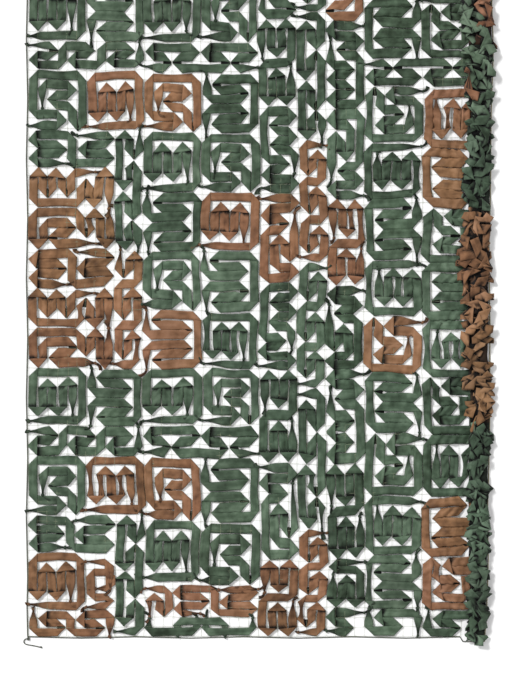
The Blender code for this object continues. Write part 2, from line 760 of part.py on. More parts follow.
def main():
    clear_scene()
    collection = bpy.data.collections.new("camouflage_net")
    bpy.context.scene.collection.children.link(collection)
    near_left_corner = bpy.data.objects.new("near_left_corner", None)
    collection.objects.link(near_left_corner)

    chance = random.Random(7)
    chosen = largest_gaps()
    net = [make_panel(name, chosen[name], chance, collection, near_left_corner) for name in PANELS]
    net += [make_folds(name, collection, near_left_corner) for name in FOLDED_LENGTHS]
    net.append(make_rope("edge_rope", edge_rope_points(), True, collection, near_left_corner))
    net.append(make_knot("corner_knot", CORNER_KNOT, KNOT_RADIUS, KNOT_HEIGHT, collection, near_left_corner))

    route = smooth_route([(x * CELL, y * CELL) for x, y in LOOSE_END], 4 * ROPE_RADIUS)
    make_rope("rope_end", route, False, collection, near_left_corner)
    end_knot = (LOOSE_END[-1][0] + END_KNOT_OFFSET, LOOSE_END[-1][1])
    make_knot("end_knot", end_knot, END_KNOT_RADIUS, END_KNOT_HEIGHT, collection, near_left_corner)

    bpy.context.view_layer.update()
    near_left_corner.location = -middle_of(net)


main()
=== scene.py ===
# %% [markdown]
# # Camouflage net
#
# The real thing is a light square-mesh net with long cloth ribbons laid through it. Every ribbon follows a
# square-cornered route from mesh to mesh and is folded over at 45 degrees at each turn, so its cloth
# doubles there and the outer corner stays open. The net lies flat, its right-hand side is pushed together
# into a heap of folds, and a rope runs round its edge.
#
# The frame comes first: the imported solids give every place, and nothing below moves them.
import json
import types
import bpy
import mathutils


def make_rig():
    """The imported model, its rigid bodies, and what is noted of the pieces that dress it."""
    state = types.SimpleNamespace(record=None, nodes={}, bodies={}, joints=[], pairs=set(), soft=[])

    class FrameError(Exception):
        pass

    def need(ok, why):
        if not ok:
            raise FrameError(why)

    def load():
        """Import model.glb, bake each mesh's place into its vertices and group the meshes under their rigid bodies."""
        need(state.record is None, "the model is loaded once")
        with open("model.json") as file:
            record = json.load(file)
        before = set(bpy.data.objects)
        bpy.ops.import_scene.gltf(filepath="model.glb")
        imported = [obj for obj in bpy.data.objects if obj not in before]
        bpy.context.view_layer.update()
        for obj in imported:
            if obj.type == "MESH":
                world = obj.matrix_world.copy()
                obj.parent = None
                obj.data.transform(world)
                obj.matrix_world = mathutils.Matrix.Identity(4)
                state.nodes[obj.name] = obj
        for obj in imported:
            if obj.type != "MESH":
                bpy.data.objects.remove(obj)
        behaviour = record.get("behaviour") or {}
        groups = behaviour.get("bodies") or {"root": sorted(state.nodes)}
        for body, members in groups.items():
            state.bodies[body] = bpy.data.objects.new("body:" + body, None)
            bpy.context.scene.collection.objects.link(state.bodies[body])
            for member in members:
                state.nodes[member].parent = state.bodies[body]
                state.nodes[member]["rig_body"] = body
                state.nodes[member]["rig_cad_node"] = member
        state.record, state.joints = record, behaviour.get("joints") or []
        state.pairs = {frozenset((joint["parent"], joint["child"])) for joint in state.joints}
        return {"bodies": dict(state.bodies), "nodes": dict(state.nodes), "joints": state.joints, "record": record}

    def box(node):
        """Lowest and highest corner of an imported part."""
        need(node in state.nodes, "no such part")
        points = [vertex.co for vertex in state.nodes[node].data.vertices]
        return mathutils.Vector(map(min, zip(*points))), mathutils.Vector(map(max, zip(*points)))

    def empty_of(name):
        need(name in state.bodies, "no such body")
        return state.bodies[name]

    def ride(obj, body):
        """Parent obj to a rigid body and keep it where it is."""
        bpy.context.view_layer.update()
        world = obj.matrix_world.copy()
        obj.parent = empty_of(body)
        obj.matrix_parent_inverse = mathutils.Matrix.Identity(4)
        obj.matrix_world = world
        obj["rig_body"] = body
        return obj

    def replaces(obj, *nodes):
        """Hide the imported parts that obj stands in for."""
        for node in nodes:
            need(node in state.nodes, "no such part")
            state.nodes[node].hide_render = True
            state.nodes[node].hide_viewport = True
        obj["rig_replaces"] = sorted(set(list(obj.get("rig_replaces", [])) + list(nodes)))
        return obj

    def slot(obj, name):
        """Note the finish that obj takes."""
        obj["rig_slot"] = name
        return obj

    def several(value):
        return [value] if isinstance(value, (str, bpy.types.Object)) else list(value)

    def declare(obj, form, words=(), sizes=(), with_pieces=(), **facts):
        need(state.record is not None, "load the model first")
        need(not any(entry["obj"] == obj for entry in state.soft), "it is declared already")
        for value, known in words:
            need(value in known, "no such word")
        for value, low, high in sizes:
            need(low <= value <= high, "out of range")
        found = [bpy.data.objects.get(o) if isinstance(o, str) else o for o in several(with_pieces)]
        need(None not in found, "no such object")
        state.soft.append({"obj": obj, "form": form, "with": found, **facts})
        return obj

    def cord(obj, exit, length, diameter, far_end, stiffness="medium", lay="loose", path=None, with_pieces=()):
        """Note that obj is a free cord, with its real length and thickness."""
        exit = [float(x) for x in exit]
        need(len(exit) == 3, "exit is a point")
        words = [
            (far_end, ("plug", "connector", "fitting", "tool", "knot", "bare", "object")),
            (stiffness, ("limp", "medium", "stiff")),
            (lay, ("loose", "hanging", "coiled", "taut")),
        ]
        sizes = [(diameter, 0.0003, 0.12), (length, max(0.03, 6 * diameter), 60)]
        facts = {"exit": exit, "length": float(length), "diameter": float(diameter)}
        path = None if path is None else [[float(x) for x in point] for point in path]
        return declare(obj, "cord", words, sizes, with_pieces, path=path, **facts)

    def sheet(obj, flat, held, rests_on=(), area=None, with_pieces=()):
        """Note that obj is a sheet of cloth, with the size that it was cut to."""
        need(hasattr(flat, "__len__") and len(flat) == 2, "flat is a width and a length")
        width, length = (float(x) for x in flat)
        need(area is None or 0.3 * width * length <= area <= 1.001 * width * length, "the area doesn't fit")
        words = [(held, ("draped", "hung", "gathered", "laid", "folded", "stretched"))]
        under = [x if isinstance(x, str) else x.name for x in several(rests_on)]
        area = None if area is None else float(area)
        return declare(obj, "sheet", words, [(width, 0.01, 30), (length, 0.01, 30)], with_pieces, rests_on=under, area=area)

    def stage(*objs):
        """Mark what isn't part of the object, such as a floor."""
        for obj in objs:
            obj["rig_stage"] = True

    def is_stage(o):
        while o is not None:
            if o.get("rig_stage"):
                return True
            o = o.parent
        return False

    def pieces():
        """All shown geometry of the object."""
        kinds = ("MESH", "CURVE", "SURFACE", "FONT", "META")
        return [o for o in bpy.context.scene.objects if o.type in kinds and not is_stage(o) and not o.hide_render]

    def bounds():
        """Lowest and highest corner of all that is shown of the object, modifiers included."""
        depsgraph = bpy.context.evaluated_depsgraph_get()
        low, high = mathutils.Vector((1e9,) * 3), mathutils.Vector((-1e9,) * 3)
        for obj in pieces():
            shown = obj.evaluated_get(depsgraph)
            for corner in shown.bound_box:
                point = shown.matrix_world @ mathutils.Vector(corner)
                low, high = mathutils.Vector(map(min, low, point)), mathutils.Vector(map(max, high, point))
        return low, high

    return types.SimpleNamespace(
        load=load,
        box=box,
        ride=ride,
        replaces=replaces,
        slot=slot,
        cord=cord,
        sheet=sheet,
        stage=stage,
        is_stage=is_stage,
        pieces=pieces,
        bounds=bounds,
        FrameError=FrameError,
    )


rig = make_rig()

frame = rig.load()
CAD_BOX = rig.bounds()

import json
import math
import random
from collections import namedtuple

import bmesh
import bpy
from mathutils import Matrix, Vector, noise

print("solids:", len(frame["nodes"]), "box:", CAD_BOX)

# %% [markdown]
# ## Sizes
#
# Everything is laid out in cells of the base net, 50 mm each, counted from the near left corner. One
# panel's box gives that corner's place in the frame. A ribbon is a little narrower than a cell. Heights are
# in metres. A hand-tied net is never quite square, and two slow noises give that: each cell's corner
# drifts a little, and its neighbours with it.

# %% Sizes and places
CELL = 0.050
HALF_GAP = 0.00015      # the solids stand this far inside their cells
NEAR_EDGE = 0.05        # cells
FAR_EDGE = 68.4
FOLDS_START = 45.3      # the flat part ends here

corner_low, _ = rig.box("brown_a1")
CORNER = Vector((corner_low[0] - HALF_GAP, corner_low[1] - HALF_GAP - NEAR_EDGE * CELL, 0.0))

RIBBON = 0.0484         # width of a ribbon
CLOTH = 0.0006          # its thickness
UNDER_LEVEL = 0.0020    # height of a short run folded under the others
RUN_LEVELS = (0.0056, 0.0082)   # heights of the long runs, in turn
OVER_LEVEL = 0.0118     # height of a short run folded over the others
ACROSS = 6              # faces across a ribbon
HALF = RIBBON / CELL / 2

SQUARE_X = 3.0          # cells from the left edge over which the meshes get free to drift
SQUARE_Y = 2.5          # and from the near and the far edge
DRIFTS = ((7.0, 5.0, 0.30), (2.1, 8.0, 0.11))   # cells from drift to drift, layer of the noise, reach

noise.seed_set(5)       # without this the net would drift another way each time


def clamped(value):
    """The value, or the nearer of 0 and 1."""
    return max(0.0, min(1.0, value))


def at(x, y, height=0.0):
    """A place given in cells, in metres in the frame."""
    return CORNER + Vector((x * CELL, y * CELL, height))


def on_net(x, y, height=0.0):
    """The same on the laid net, whose meshes are drawn a little out of square, less so near its edges."""
    free = clamped(min(x / SQUARE_X, y / SQUARE_Y, (FAR_EDGE - y) / SQUARE_Y))
    drift = Vector((0.0, 0.0, 0.0))
    for length, layer, reach in DRIFTS:
        drift += noise.noise_vector(Vector((x / length, y / length, layer))) * reach
    return at(x + free * drift.x, y + free * drift.y, height)


print("near left corner of the net at", tuple(round(value, 4) for value in CORNER))

# %% [markdown]
# ## Camera, floor and light
#
# The net is seen square from above. A long way up, the camera's rays are nearly parallel, so the meshes
# keep one size all over the view. The field of view follows from the stretch of net that fills it.
# A wide soft sun from the far left gives the folds their shade, and a weak one opposite opens it a little.

# %% Camera
VIEW_MIDDLE = (23.92, 30.47)    # cells
VIEW_HEIGHT = 3.583             # metres of net from the bottom to the top of the view
CAMERA_HEIGHT = 14.0


def add_object(name, data):
    """A new object in the scene."""
    obj = bpy.data.objects.new(name, data)
    bpy.context.scene.collection.objects.link(obj)
    return obj


camera_data = bpy.data.cameras.new("camera")
camera_data.sensor_fit = "VERTICAL"
camera_data.lens = camera_data.sensor_height * CAMERA_HEIGHT / VIEW_HEIGHT
camera_data.clip_end = 100.0
camera = add_object("camera", camera_data)
camera.location = at(*VIEW_MIDDLE, CAMERA_HEIGHT)
bpy.context.scene.camera = camera
print("lens:", round(camera_data.lens, 1), "mm")

# %% Floor and light
FLOOR_SIZE = 30.0
FLOOR_LEVEL = -0.0006   # just under the lowest cloth
FLOOR_GREY = 0.80
AMBIENT = 0.72          # strength of the white light from all round


def mesh_from(name, shape, smooth=True):
    """A mesh from a bmesh, which is freed."""
    for face in shape.faces:
        face.smooth = smooth
    mesh = bpy.data.meshes.new(name)
    shape.to_mesh(mesh)
    shape.free()
    return mesh


ground = bmesh.new()
bmesh.ops.create_grid(ground, x_segments=1, y_segments=1, size=FLOOR_SIZE / 2)
floor = add_object("floor", mesh_from("floor", ground, smooth=False))
floor.location.z = FLOOR_LEVEL
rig.stage(floor)

paper = bpy.data.materials.new("pale_floor")
paper.use_nodes = True
paper_shader = paper.node_tree.nodes["Principled BSDF"]
paper_shader.inputs["Base Color"].default_value = (FLOOR_GREY, FLOOR_GREY, FLOOR_GREY, 1.0)
paper_shader.inputs["Roughness"].default_value = 0.9
floor.data.materials.append(paper)

world = bpy.data.worlds.new("studio")
world.use_nodes = True
world.node_tree.nodes["Background"].inputs["Color"].default_value = (1.0, 1.0, 1.0, 1.0)
world.node_tree.nodes["Background"].inputs["Strength"].default_value = AMBIENT
bpy.context.scene.world = world


def add_sun(name, strength, width, azimuth, elevation):
    """A soft light from one side: azimuth from +X, both angles in degrees."""
    data = bpy.data.lights.new(name, "SUN")
    data.energy = strength
    data.angle = math.radians(width)
    sun = add_object(name, data)
    sun.rotation_euler = (0.0, math.radians(90.0 - elevation), math.radians(azimuth))


add_sun("key", strength=3.1, width=12.0, azimuth=140.0, elevation=42.0)
add_sun("fill", strength=0.35, width=60.0, azimuth=-30.0, elevation=60.0)
bpy.context.scene.view_settings.view_transform = "Standard"
print("lights:", [obj.name for obj in bpy.data.objects if obj.type == "LIGHT"])

# %% [markdown]
# ## Cloth, cord and rope
#
# The ribbons are a plain woven cloth with little gloss. Its colour drifts a little from ribbon to ribbon,
# which follows an attribute named tone, one value for each ribbon. Faint streaks run along the strip and
# follow its own UV map, which holds metres along and across it. Small patches are darker and lighter: that
# is painted shade and light of rumples in the cloth. A second attribute paints shade into the colour: it
# darkens cloth that lies under other cloth, where little light comes. The weave is fine, so it is bump.

# %% Material helpers
LITTLE_GLOSS = 0.15


def new_material(name, roughness):
    """A new material with its nodes, its links and its shader."""
    material = bpy.data.materials.new(name)
    material.use_nodes = True
    nodes = material.node_tree.nodes
    shader = nodes["Principled BSDF"]
    shader.inputs["Roughness"].default_value = roughness
    shader.inputs["Specular IOR Level"].default_value = LITTLE_GLOSS
    return material, nodes, material.node_tree.links, shader


def add_node(nodes, kind, **settings):
    """A new node with some of its settings."""
    node = nodes.new(kind)
    for name, value in settings.items():
        setattr(node, name, value)
    return node


def colour_ramp(nodes, stops):
    """A colour ramp with (position, colour) stops."""
    ramp = add_node(nodes, "ShaderNodeValToRGB")
    elements = ramp.color_ramp.elements
    while len(elements) < len(stops):
        elements.new(0.5)
    for element, (position, colour) in zip(elements, stops):
        element.position = position
        element.color = (*colour, 1.0)
    return ramp


print("specular level of cloth and cord:", LITTLE_GLOSS)

# %% Noise and bump
NOISE_SPAN = (0.3, 0.7)     # most of a noise lies between these


def add_noise(nodes, links, places, scale, detail):
    """A noise over the places that a socket gives."""
    texture = add_node(nodes, "ShaderNodeTexNoise")
    texture.inputs["Scale"].default_value = scale
    texture.inputs["Detail"].default_value = detail
    links.new(places, texture.inputs["Vector"])
    return texture.outputs["Fac"]


def between(nodes, links, value, low, high):
    """A noise spread over the values from low to high."""
    spread = add_node(nodes, "ShaderNodeMapRange")
    spread.inputs["From Min"].default_value = NOISE_SPAN[0]
    spread.inputs["From Max"].default_value = NOISE_SPAN[1]
    spread.inputs["To Min"].default_value = low
    spread.inputs["To Max"].default_value = high
    links.new(value, spread.inputs["Value"])
    return spread.outputs["Result"]


def added(nodes, links, first, second):
    """The sum of two values."""
    total = add_node(nodes, "ShaderNodeMath", operation="ADD")
    links.new(first, total.inputs[0])
    links.new(second, total.inputs[1])
    return total.outputs["Value"]


def add_bump(nodes, links, height, distance, strength):
    """A bump of so many metres. The node is given back, because one bump can go on top of another."""
    bump = add_node(nodes, "ShaderNodeBump")
    bump.inputs["Distance"].default_value = distance
    bump.inputs["Strength"].default_value = strength
    links.new(height, bump.inputs["Height"])
    return bump


print("most of a noise lies from", NOISE_SPAN[0], "to", NOISE_SPAN[1])

# %% The cloth's colour
STREAKS = 55.0          # faint streaks across a metre
STREAK_LENGTH = 12      # how many times longer than wide they are
PATCHES = 20.0          # patches of painted shade and light from rumples, in a metre
RUMPLE_SHADES = (0.14, 0.86)  # how dark and light the painted patches are
HUE_DRIFT = 0.009       # how far the dye's hue wanders over the net
HUE_PLACES = 1.1        # places in a metre where it differs
FADED_PLACES = 3.2      # and where the cloth is faded by more or less
DARKEST_PAINTED_SHADE = 0.03          # what is left of the colour under the fullest painted shade, where cloth lies deepest under other cloth
SHADE_STOPS = (0.22, 0.5, 0.8)  # shares of light at which the dark, middle and light shade stand


def cloth_share(nodes, links, strip, places):
    """How light the cloth is at a point, from 0 to 1: half from its streaks, half from its patches of painted shade
    and light from rumples.
    """
    stretch = add_node(nodes, "ShaderNodeMapping")
    stretch.inputs["Scale"].default_value = (STREAKS, STREAKS / STREAK_LENGTH, 1.0)
    links.new(strip, stretch.inputs["Vector"])
    streaks = add_noise(nodes, links, stretch.outputs["Vector"], 1.0, 3.0)
    patches = add_noise(nodes, links, places, PATCHES, 4.0)
    # painted shade and light of rumples in the cloth, from a noise
    rumple_shade = between(nodes, links, patches, *RUMPLE_SHADES)
    tone = add_node(nodes, "ShaderNodeAttribute", attribute_name="tone")
    toned = added(nodes, links, added(nodes, links, streaks, rumple_shade), tone.outputs["Fac"])
    share = add_node(nodes, "ShaderNodeMath", operation="MULTIPLY")
    share.inputs[1].default_value = 0.5
    links.new(toned, share.inputs[0])
    return share.outputs["Value"]


def cloth_colour(nodes, links, share, places, shades, fading):
    """The colour from the share of light, faded from place to place and darkened by painted shade to nearly black
    where cloth lies under other cloth.
    """
    ramp = colour_ramp(nodes, tuple(zip(SHADE_STOPS, shades)))
    links.new(share, ramp.inputs["Fac"])
    drift = add_noise(nodes, links, places, HUE_PLACES, 1.0)
    faded = add_noise(nodes, links, places, FADED_PLACES, 2.0)
    shifted = add_node(nodes, "ShaderNodeHueSaturation")
    links.new(between(nodes, links, drift, 0.5 - HUE_DRIFT, 0.5 + HUE_DRIFT), shifted.inputs["Hue"])
    links.new(between(nodes, links, faded, *fading), shifted.inputs["Value"])
    links.new(ramp.outputs["Color"], shifted.inputs["Color"])
    # painted shade: an attribute darkens the colour towards nearly black where cloth lies under other cloth
    buried = add_node(nodes, "ShaderNodeAttribute", attribute_name="buried")
    shaded = add_node(nodes, "ShaderNodeMix", data_type="RGBA")
    links.new(buried.outputs["Fac"], shaded.inputs["Factor"])
    links.new(shifted.outputs["Color"], shaded.inputs["A"])
    shaded.inputs["B"].default_value = (*(value * DARKEST_PAINTED_SHADE for value in shades[0]), 1.0)
    return shaded.outputs["Result"]


print("streaks:", STREAKS, "to a metre, patches:", PATCHES)

# %% Woven ribbon cloth
THREADS = 620.0         # threads in a metre
WAVE_THREADS = 20       # a wave of scale 1 has this many in a metre
WEAVE_DEPTH = 0.00012   # metres
CREASES = 70.0          # creases in a metre
CREASE_DEPTH = 0.0035


def ribbon_cloth(name, shades, fading):
    """Woven cloth in three shades. fading is how dark and how light it gets from place to place."""
    material, nodes, links, shader = new_material(name, roughness=0.66)
    shader.inputs["Sheen Weight"].default_value = 0.05
    shader.inputs["Sheen Roughness"].default_value = 0.5
    strip = add_node(nodes, "ShaderNodeUVMap", uv_map="strip").outputs["UV"]
    places = add_node(nodes, "ShaderNodeTexCoord").outputs["Object"]
    share = cloth_share(nodes, links, strip, places)
    links.new(cloth_colour(nodes, links, share, places, shades, fading), shader.inputs["Base Color"])

    threads = add_node(nodes, "ShaderNodeMath", operation="MAXIMUM")
    for index, direction in enumerate("XY"):
        wave = add_node(nodes, "ShaderNodeTexWave", bands_direction=direction)
        wave.inputs["Scale"].default_value = THREADS / WAVE_THREADS
        links.new(strip, wave.inputs["Vector"])
        links.new(wave.outputs["Fac"], threads.inputs[index])
    creased = add_bump(nodes, links, add_noise(nodes, links, places, CREASES, 2.0), CREASE_DEPTH, 0.5)
    woven = add_bump(nodes, links, threads.outputs["Value"], WEAVE_DEPTH, 0.6)
    links.new(creased.outputs["Normal"], woven.inputs["Normal"])
    links.new(woven.outputs["Normal"], shader.inputs["Normal"])
    return material


GREENS = ((0.014, 0.025, 0.013), (0.045, 0.073, 0.045), (0.096, 0.139, 0.094))
BROWNS = ((0.078, 0.036, 0.017), (0.180, 0.088, 0.043), (0.262, 0.139, 0.079))
GREEN = ribbon_cloth("green_cloth", GREENS, (0.68, 1.28))
BROWN = ribbon_cloth("brown_cloth", BROWNS, (0.72, 1.22))
print("cloths:", GREEN.name, BROWN.name)

# %% Net cord and rope
LIGHTER_FROM = 1.08    # metres to the right of the middle
LIGHTER_OVER = 0.06    # metres over which the rope gets lighter there
FIBRE_DEPTH = 0.0004


def lighter_at_right(nodes, links, places, colour, bleached):
    """The colour, but a lighter one at the right side of the net."""
    split = add_node(nodes, "ShaderNodeSeparateXYZ")
    links.new(places, split.inputs["Vector"])
    side = add_node(nodes, "ShaderNodeMapRange")
    side.inputs["From Min"].default_value = LIGHTER_FROM
    side.inputs["From Max"].default_value = LIGHTER_FROM + LIGHTER_OVER
    links.new(split.outputs["X"], side.inputs["Value"])
    lighter = add_node(nodes, "ShaderNodeMix", data_type="RGBA")
    links.new(side.outputs["Result"], lighter.inputs["Factor"])
    links.new(colour, lighter.inputs["A"])
    lighter.inputs["B"].default_value = (*bleached, 1.0)
    return lighter.outputs["Result"]


def cord_material(name, dark, light, scale, roughness, bleached=None):
    """A cord of fibres in two colours."""
    material, nodes, links, shader = new_material(name, roughness)
    places = add_node(nodes, "ShaderNodeTexCoord").outputs["Object"]
    fibres = add_noise(nodes, links, places, scale, 5.0)
    ramp = colour_ramp(nodes, ((0.35, dark), (0.65, light)))
    links.new(fibres, ramp.inputs["Fac"])
    colour = ramp.outputs["Color"]
    if bleached:
        colour = lighter_at_right(nodes, links, places, colour, bleached)
    links.new(colour, shader.inputs["Base Color"])
    bump = add_bump(nodes, links, fibres, FIBRE_DEPTH, 0.7)
    links.new(bump.outputs["Normal"], shader.inputs["Normal"])
    return material


CORD_COLOURS = ((0.16, 0.19, 0.12), (0.30, 0.32, 0.22))
ROPE_COLOURS = ((0.030, 0.036, 0.028), (0.105, 0.110, 0.085))
ROPE_AT_RIGHT = (0.21, 0.19, 0.115)
NET_CORD = cord_material("net_cord", *CORD_COLOURS, scale=260.0, roughness=0.7)
ROPE = cord_material("rope", *ROPE_COLOURS, scale=420.0, roughness=0.85, bleached=ROPE_AT_RIGHT)
print("cords:", NET_CORD.name, ROPE.name)

# %% [markdown]
# ## The ribbons' routes
#
# A route is a field of cells, a first cell and a string of runs: r5 goes five cells to the right. A capital
# letter marks a single step that is folded over the runs it joins. The other single steps, where the ribbon
# turns straight back, are folded under them. The same few routes come back all over the net, turned or
# mirrored, and a little taller or lower each time, because the net was tied by hand. A table of panels says
# where each ribbon lies: the first column of its field, the rows where it starts and ends, and how it is
# mirrored: across, over or both, which turns it round. The panels carry the names of the solids that they
# dress.

# %% Routes
Route = namedtuple("Route", "wide high start runs")

ROUTES = {
    "frame_comb": Route(6, 6, (0, 0), "r5 u5 l5 d4 R1 u3 R1 d3 R1 u3 R1 d3"),
    "frame_zigzag": Route(6, 6, (0, 0), "r3 U1 l3 u4 r5 d5 l1 u2 l2 u1 r2 U1 l3 d2"),
    "side_stack": Route(6, 6, (0, 5), "d2 r4 u1 l3 u1 r4 d5 l4 u1 r3 u1 l4 d2"),
    "meander": Route(12, 3, (0, 2), "r2 d1 l2 D1 r3 u2 r3 d1 l2 D1 r3 u2 r3 d1 l2 D1 r3 u2"),
    "step_meander": Route(12, 3, (0, 0), "r2 u1 l2 U1 r5 d1 l2 d1 r5 u1 l2 U1 r5 d1 l2 d1 r2"),
    "double_e": Route(9, 4, (3, 0), "l3 U1 r3 u1 l3 U1 r4 d3 r4 u1 l3 U1 r3 u1 l3"),
    "ring_comb": Route(9, 4, (6, 0), "l4 u1 r2 u1 l3 d2 L1 u3 r5 d2 r1 u2 R1 d3 R1 u3"),
    "tall_comb": Route(9, 4, (6, 3), "l2 d2 l1 u2 L1 d2 l1 u2 L1 d3 r5 u2 r1 d2 R1 u3 R1 d3"),
    "chain": Route(3, 12, (2, 11), "d2 l1 u2 L1 d5 R1 u2 r1 d5 l1 u2 L1 d5 R1 u2 r1 d2"),
    "chain_topped": Route(3, 13, (0, 12), "r2 d3 l1 u2 L1 d5 R1 u2 r1 d5 l1 u2 L1 d5 R1 u2 r1 d2"),
    "chain_foot": Route(3, 13, (2, 12), "d2 l1 u2 L1 d5 R1 u2 r1 d5 l1 u2 L1 d5 R1 u2 r1 d3 l2"),
    "loops": Route(3, 13, (2, 12), "l2 d3 r1 u2 R1 d3 l2 d3 r1 u2 R1 d3 l2 d3 r1 u2 R1 d3 l2"),
    "loops_open": Route(3, 12, (0, 11), "d2 r1 u2 R1 d3 l2 d3 r1 u2 R1 d3 l2 d3 r1 u2 R1 d3 l2"),
    "comb": Route(4, 9, (0, 5), "u3 R1 d3 R1 u3 R1 d4 l3 d4 R1 u3 R1 d3 R1 u3"),
    "zigzag": Route(4, 9, (0, 0), "r3 U1 l3 U1 r2 u1 l2 u5 r3 D1 l2 d1 r2 D1 l2 d1 r2 d2"),
    "hook": Route(4, 9, (0, 8), "r3 D1 l3 D1 r2 d1 l2 d5 r3 U1 l2 u3 R1 d2 r1 u4"),
    "short_comb": Route(4, 6, (3, 5), "l3 D1 r3 d4 L1 u3 L1 d3 L1 u3"),
    "waves": Route(9, 3, (0, 2), "d2 r3 u1 l2 U1 r3 d2 r3 u1 l2 U1 r3 d2"),
    "pocket": Route(3, 5, (0, 0), "r2 u1 l2 u3 r2 d2 l1"),
    "bow": Route(3, 4, (0, 3), "r2 d3 l1 u2 L1 d2"),
    "band": Route(9, 4, (2, 0), "l2 U1 r3 u1 l3 U1 r4 d3 r4 u1 l3 U1 r3 u1 l3"),
    "bracket": Route(4, 3, (3, 2), "l3 D1 r2 d1 l2"),
    "side_waves": Route(6, 3, (0, 2), "d2 r3 u1 l2 U1 r4 d2"),
    "cap_four": Route(4, 4, (0, 3), "d3 r3 u1 l2 u2 r2"),
    "cap_three": Route(3, 4, (0, 0), "r2 u2 L1 d1 l1 u2 r2"),
    "cap_six": Route(6, 2, (0, 0), "r5 u1 l5"),
    "cap_side": Route(6, 3, (0, 0), "r5 u2 l5 D1 r3"),
    "arch": Route(3, 5, (0, 4), "r2 d3"),
    "foot_left": Route(6, 2, (0, 1), "d1 r5 u1"),
    "foot_right": Route(6, 2, (0, 0), "u1 r5 d1"),
    "lens": Route(4, 1, (0, 0), "r3"),
}

STEPS = {"r": (1, 0), "l": (-1, 0), "u": (0, 1), "d": (0, -1)}
OPPOSITE = {"l": "r", "r": "l", "u": "d", "d": "u"}

print("routes:", len(ROUTES))

# %% Panels from the left to the middle
Ribbon = namedtuple("Ribbon", "route column low high turn", defaults=[""])

PANELS = {
    "green_a1": (
        Ribbon("double_e", 0, 8.7, 12.6),
        Ribbon("frame_zigzag", 0, 12.6, 18.85),
        Ribbon("meander", 0, 18.85, 21.95),
        Ribbon("frame_comb", 0, 21.95, 28.0),
    ),
    "green_a2": (
        Ribbon("double_e", 0, 48.8, 52.7),
        Ribbon("frame_zigzag", 0, 52.7, 59.15),
        Ribbon("meander", 0, 59.15, 62.0),
        Ribbon("frame_comb", 0, 62.0, FAR_EDGE),
    ),
    "brown_a1": (
        Ribbon("waves", 0, NEAR_EDGE, 2.9),
        Ribbon("frame_comb", 0, 2.9, 8.7),
    ),
    "brown_a2": (
        Ribbon("pocket", 6, 2.8, 7.1),
        Ribbon("arch", 6, 4.1, 8.2),
    ),
    "brown_a3": (
        Ribbon("ring_comb", 0, 28.0, 32.2),
        Ribbon("tall_comb", 0, 32.2, 36.3),
        Ribbon("double_e", 0, 36.3, 40.4),
    ),
    "brown_a4": (
        Ribbon("ring_comb", 0, 40.4, 44.6),
        Ribbon("tall_comb", 0, 44.6, 48.8),
    ),
    "green_b1": (Ribbon("chain_foot", 9, NEAR_EDGE, 12.6),),
    "brown_b1": (Ribbon("frame_comb", 6, 12.6, 18.85),),
    "green_b2": (Ribbon("side_stack", 6, 21.95, 28.0),),
    "brown_b2": (Ribbon("loops_open", 9, 28.0, 40.2),),
    "green_b3": (Ribbon("chain", 9, 40.2, 52.7),),
    "brown_b3": (Ribbon("frame_comb", 6, 52.7, 58.9),),
    "green_b4": (Ribbon("side_stack", 6, 62.0, FAR_EDGE),),
    "green_c1": (
        Ribbon("foot_left", 12, NEAR_EDGE, 2.0),
        Ribbon("foot_right", 15, 0.1, 2.05),
        Ribbon("foot_left", 18, NEAR_EDGE, 2.0),
    ),
    "brown_c0": (Ribbon("bow", 12, 2.0, 5.4),),
    "brown_c1": (
        Ribbon("band", 15, 2.0, 5.4),
        Ribbon("lens", 20, 4.5, 5.35),
    ),
    "green_c2": (Ribbon("frame_comb", 12, 5.6, 12.1),),
    "brown_c2": (Ribbon("frame_zigzag", 12, 12.1, 18.65),),
    "green_c3": (
        Ribbon("step_meander", 12, 18.65, 21.95),
        Ribbon("frame_comb", 12, 21.95, 27.9),
    ),
    "brown_c3": (Ribbon("side_stack", 12, 27.9, 33.95),),
    "green_c4": (
        Ribbon("frame_zigzag", 12, 33.95, 40.0),
        Ribbon("side_stack", 12, 40.0, 46.25),
        Ribbon("frame_comb", 12, 46.25, 52.6),
    ),
    "brown_c4": (Ribbon("frame_zigzag", 12, 52.6, 58.75),),
    "green_c5": (
        Ribbon("step_meander", 12, 58.75, 61.95),
        Ribbon("frame_comb", 12, 61.95, FAR_EDGE),
    ),
    "green_d1": (
        Ribbon("frame_zigzag", 18, 5.4, 11.75),
        Ribbon("side_stack", 18, 11.75, 18.65),
    ),
    "green_d2": (
        Ribbon("frame_zigzag", 18, 21.95, 27.95),
        Ribbon("frame_comb", 18, 27.95, 33.9),
        Ribbon("side_stack", 18, 33.9, 40.15),
    ),
    "brown_d1": (Ribbon("frame_comb", 18, 40.15, 46.25),),
    "green_d3": (
        Ribbon("frame_zigzag", 18, 46.25, 52.4),
        Ribbon("side_stack", 18, 52.4, 58.7),
    ),
    "green_d4": (Ribbon("frame_zigzag", 18, 61.95, FAR_EDGE),),
}
print("ribbons at the left:", sum(len(ribbons) for ribbons in PANELS.values()))

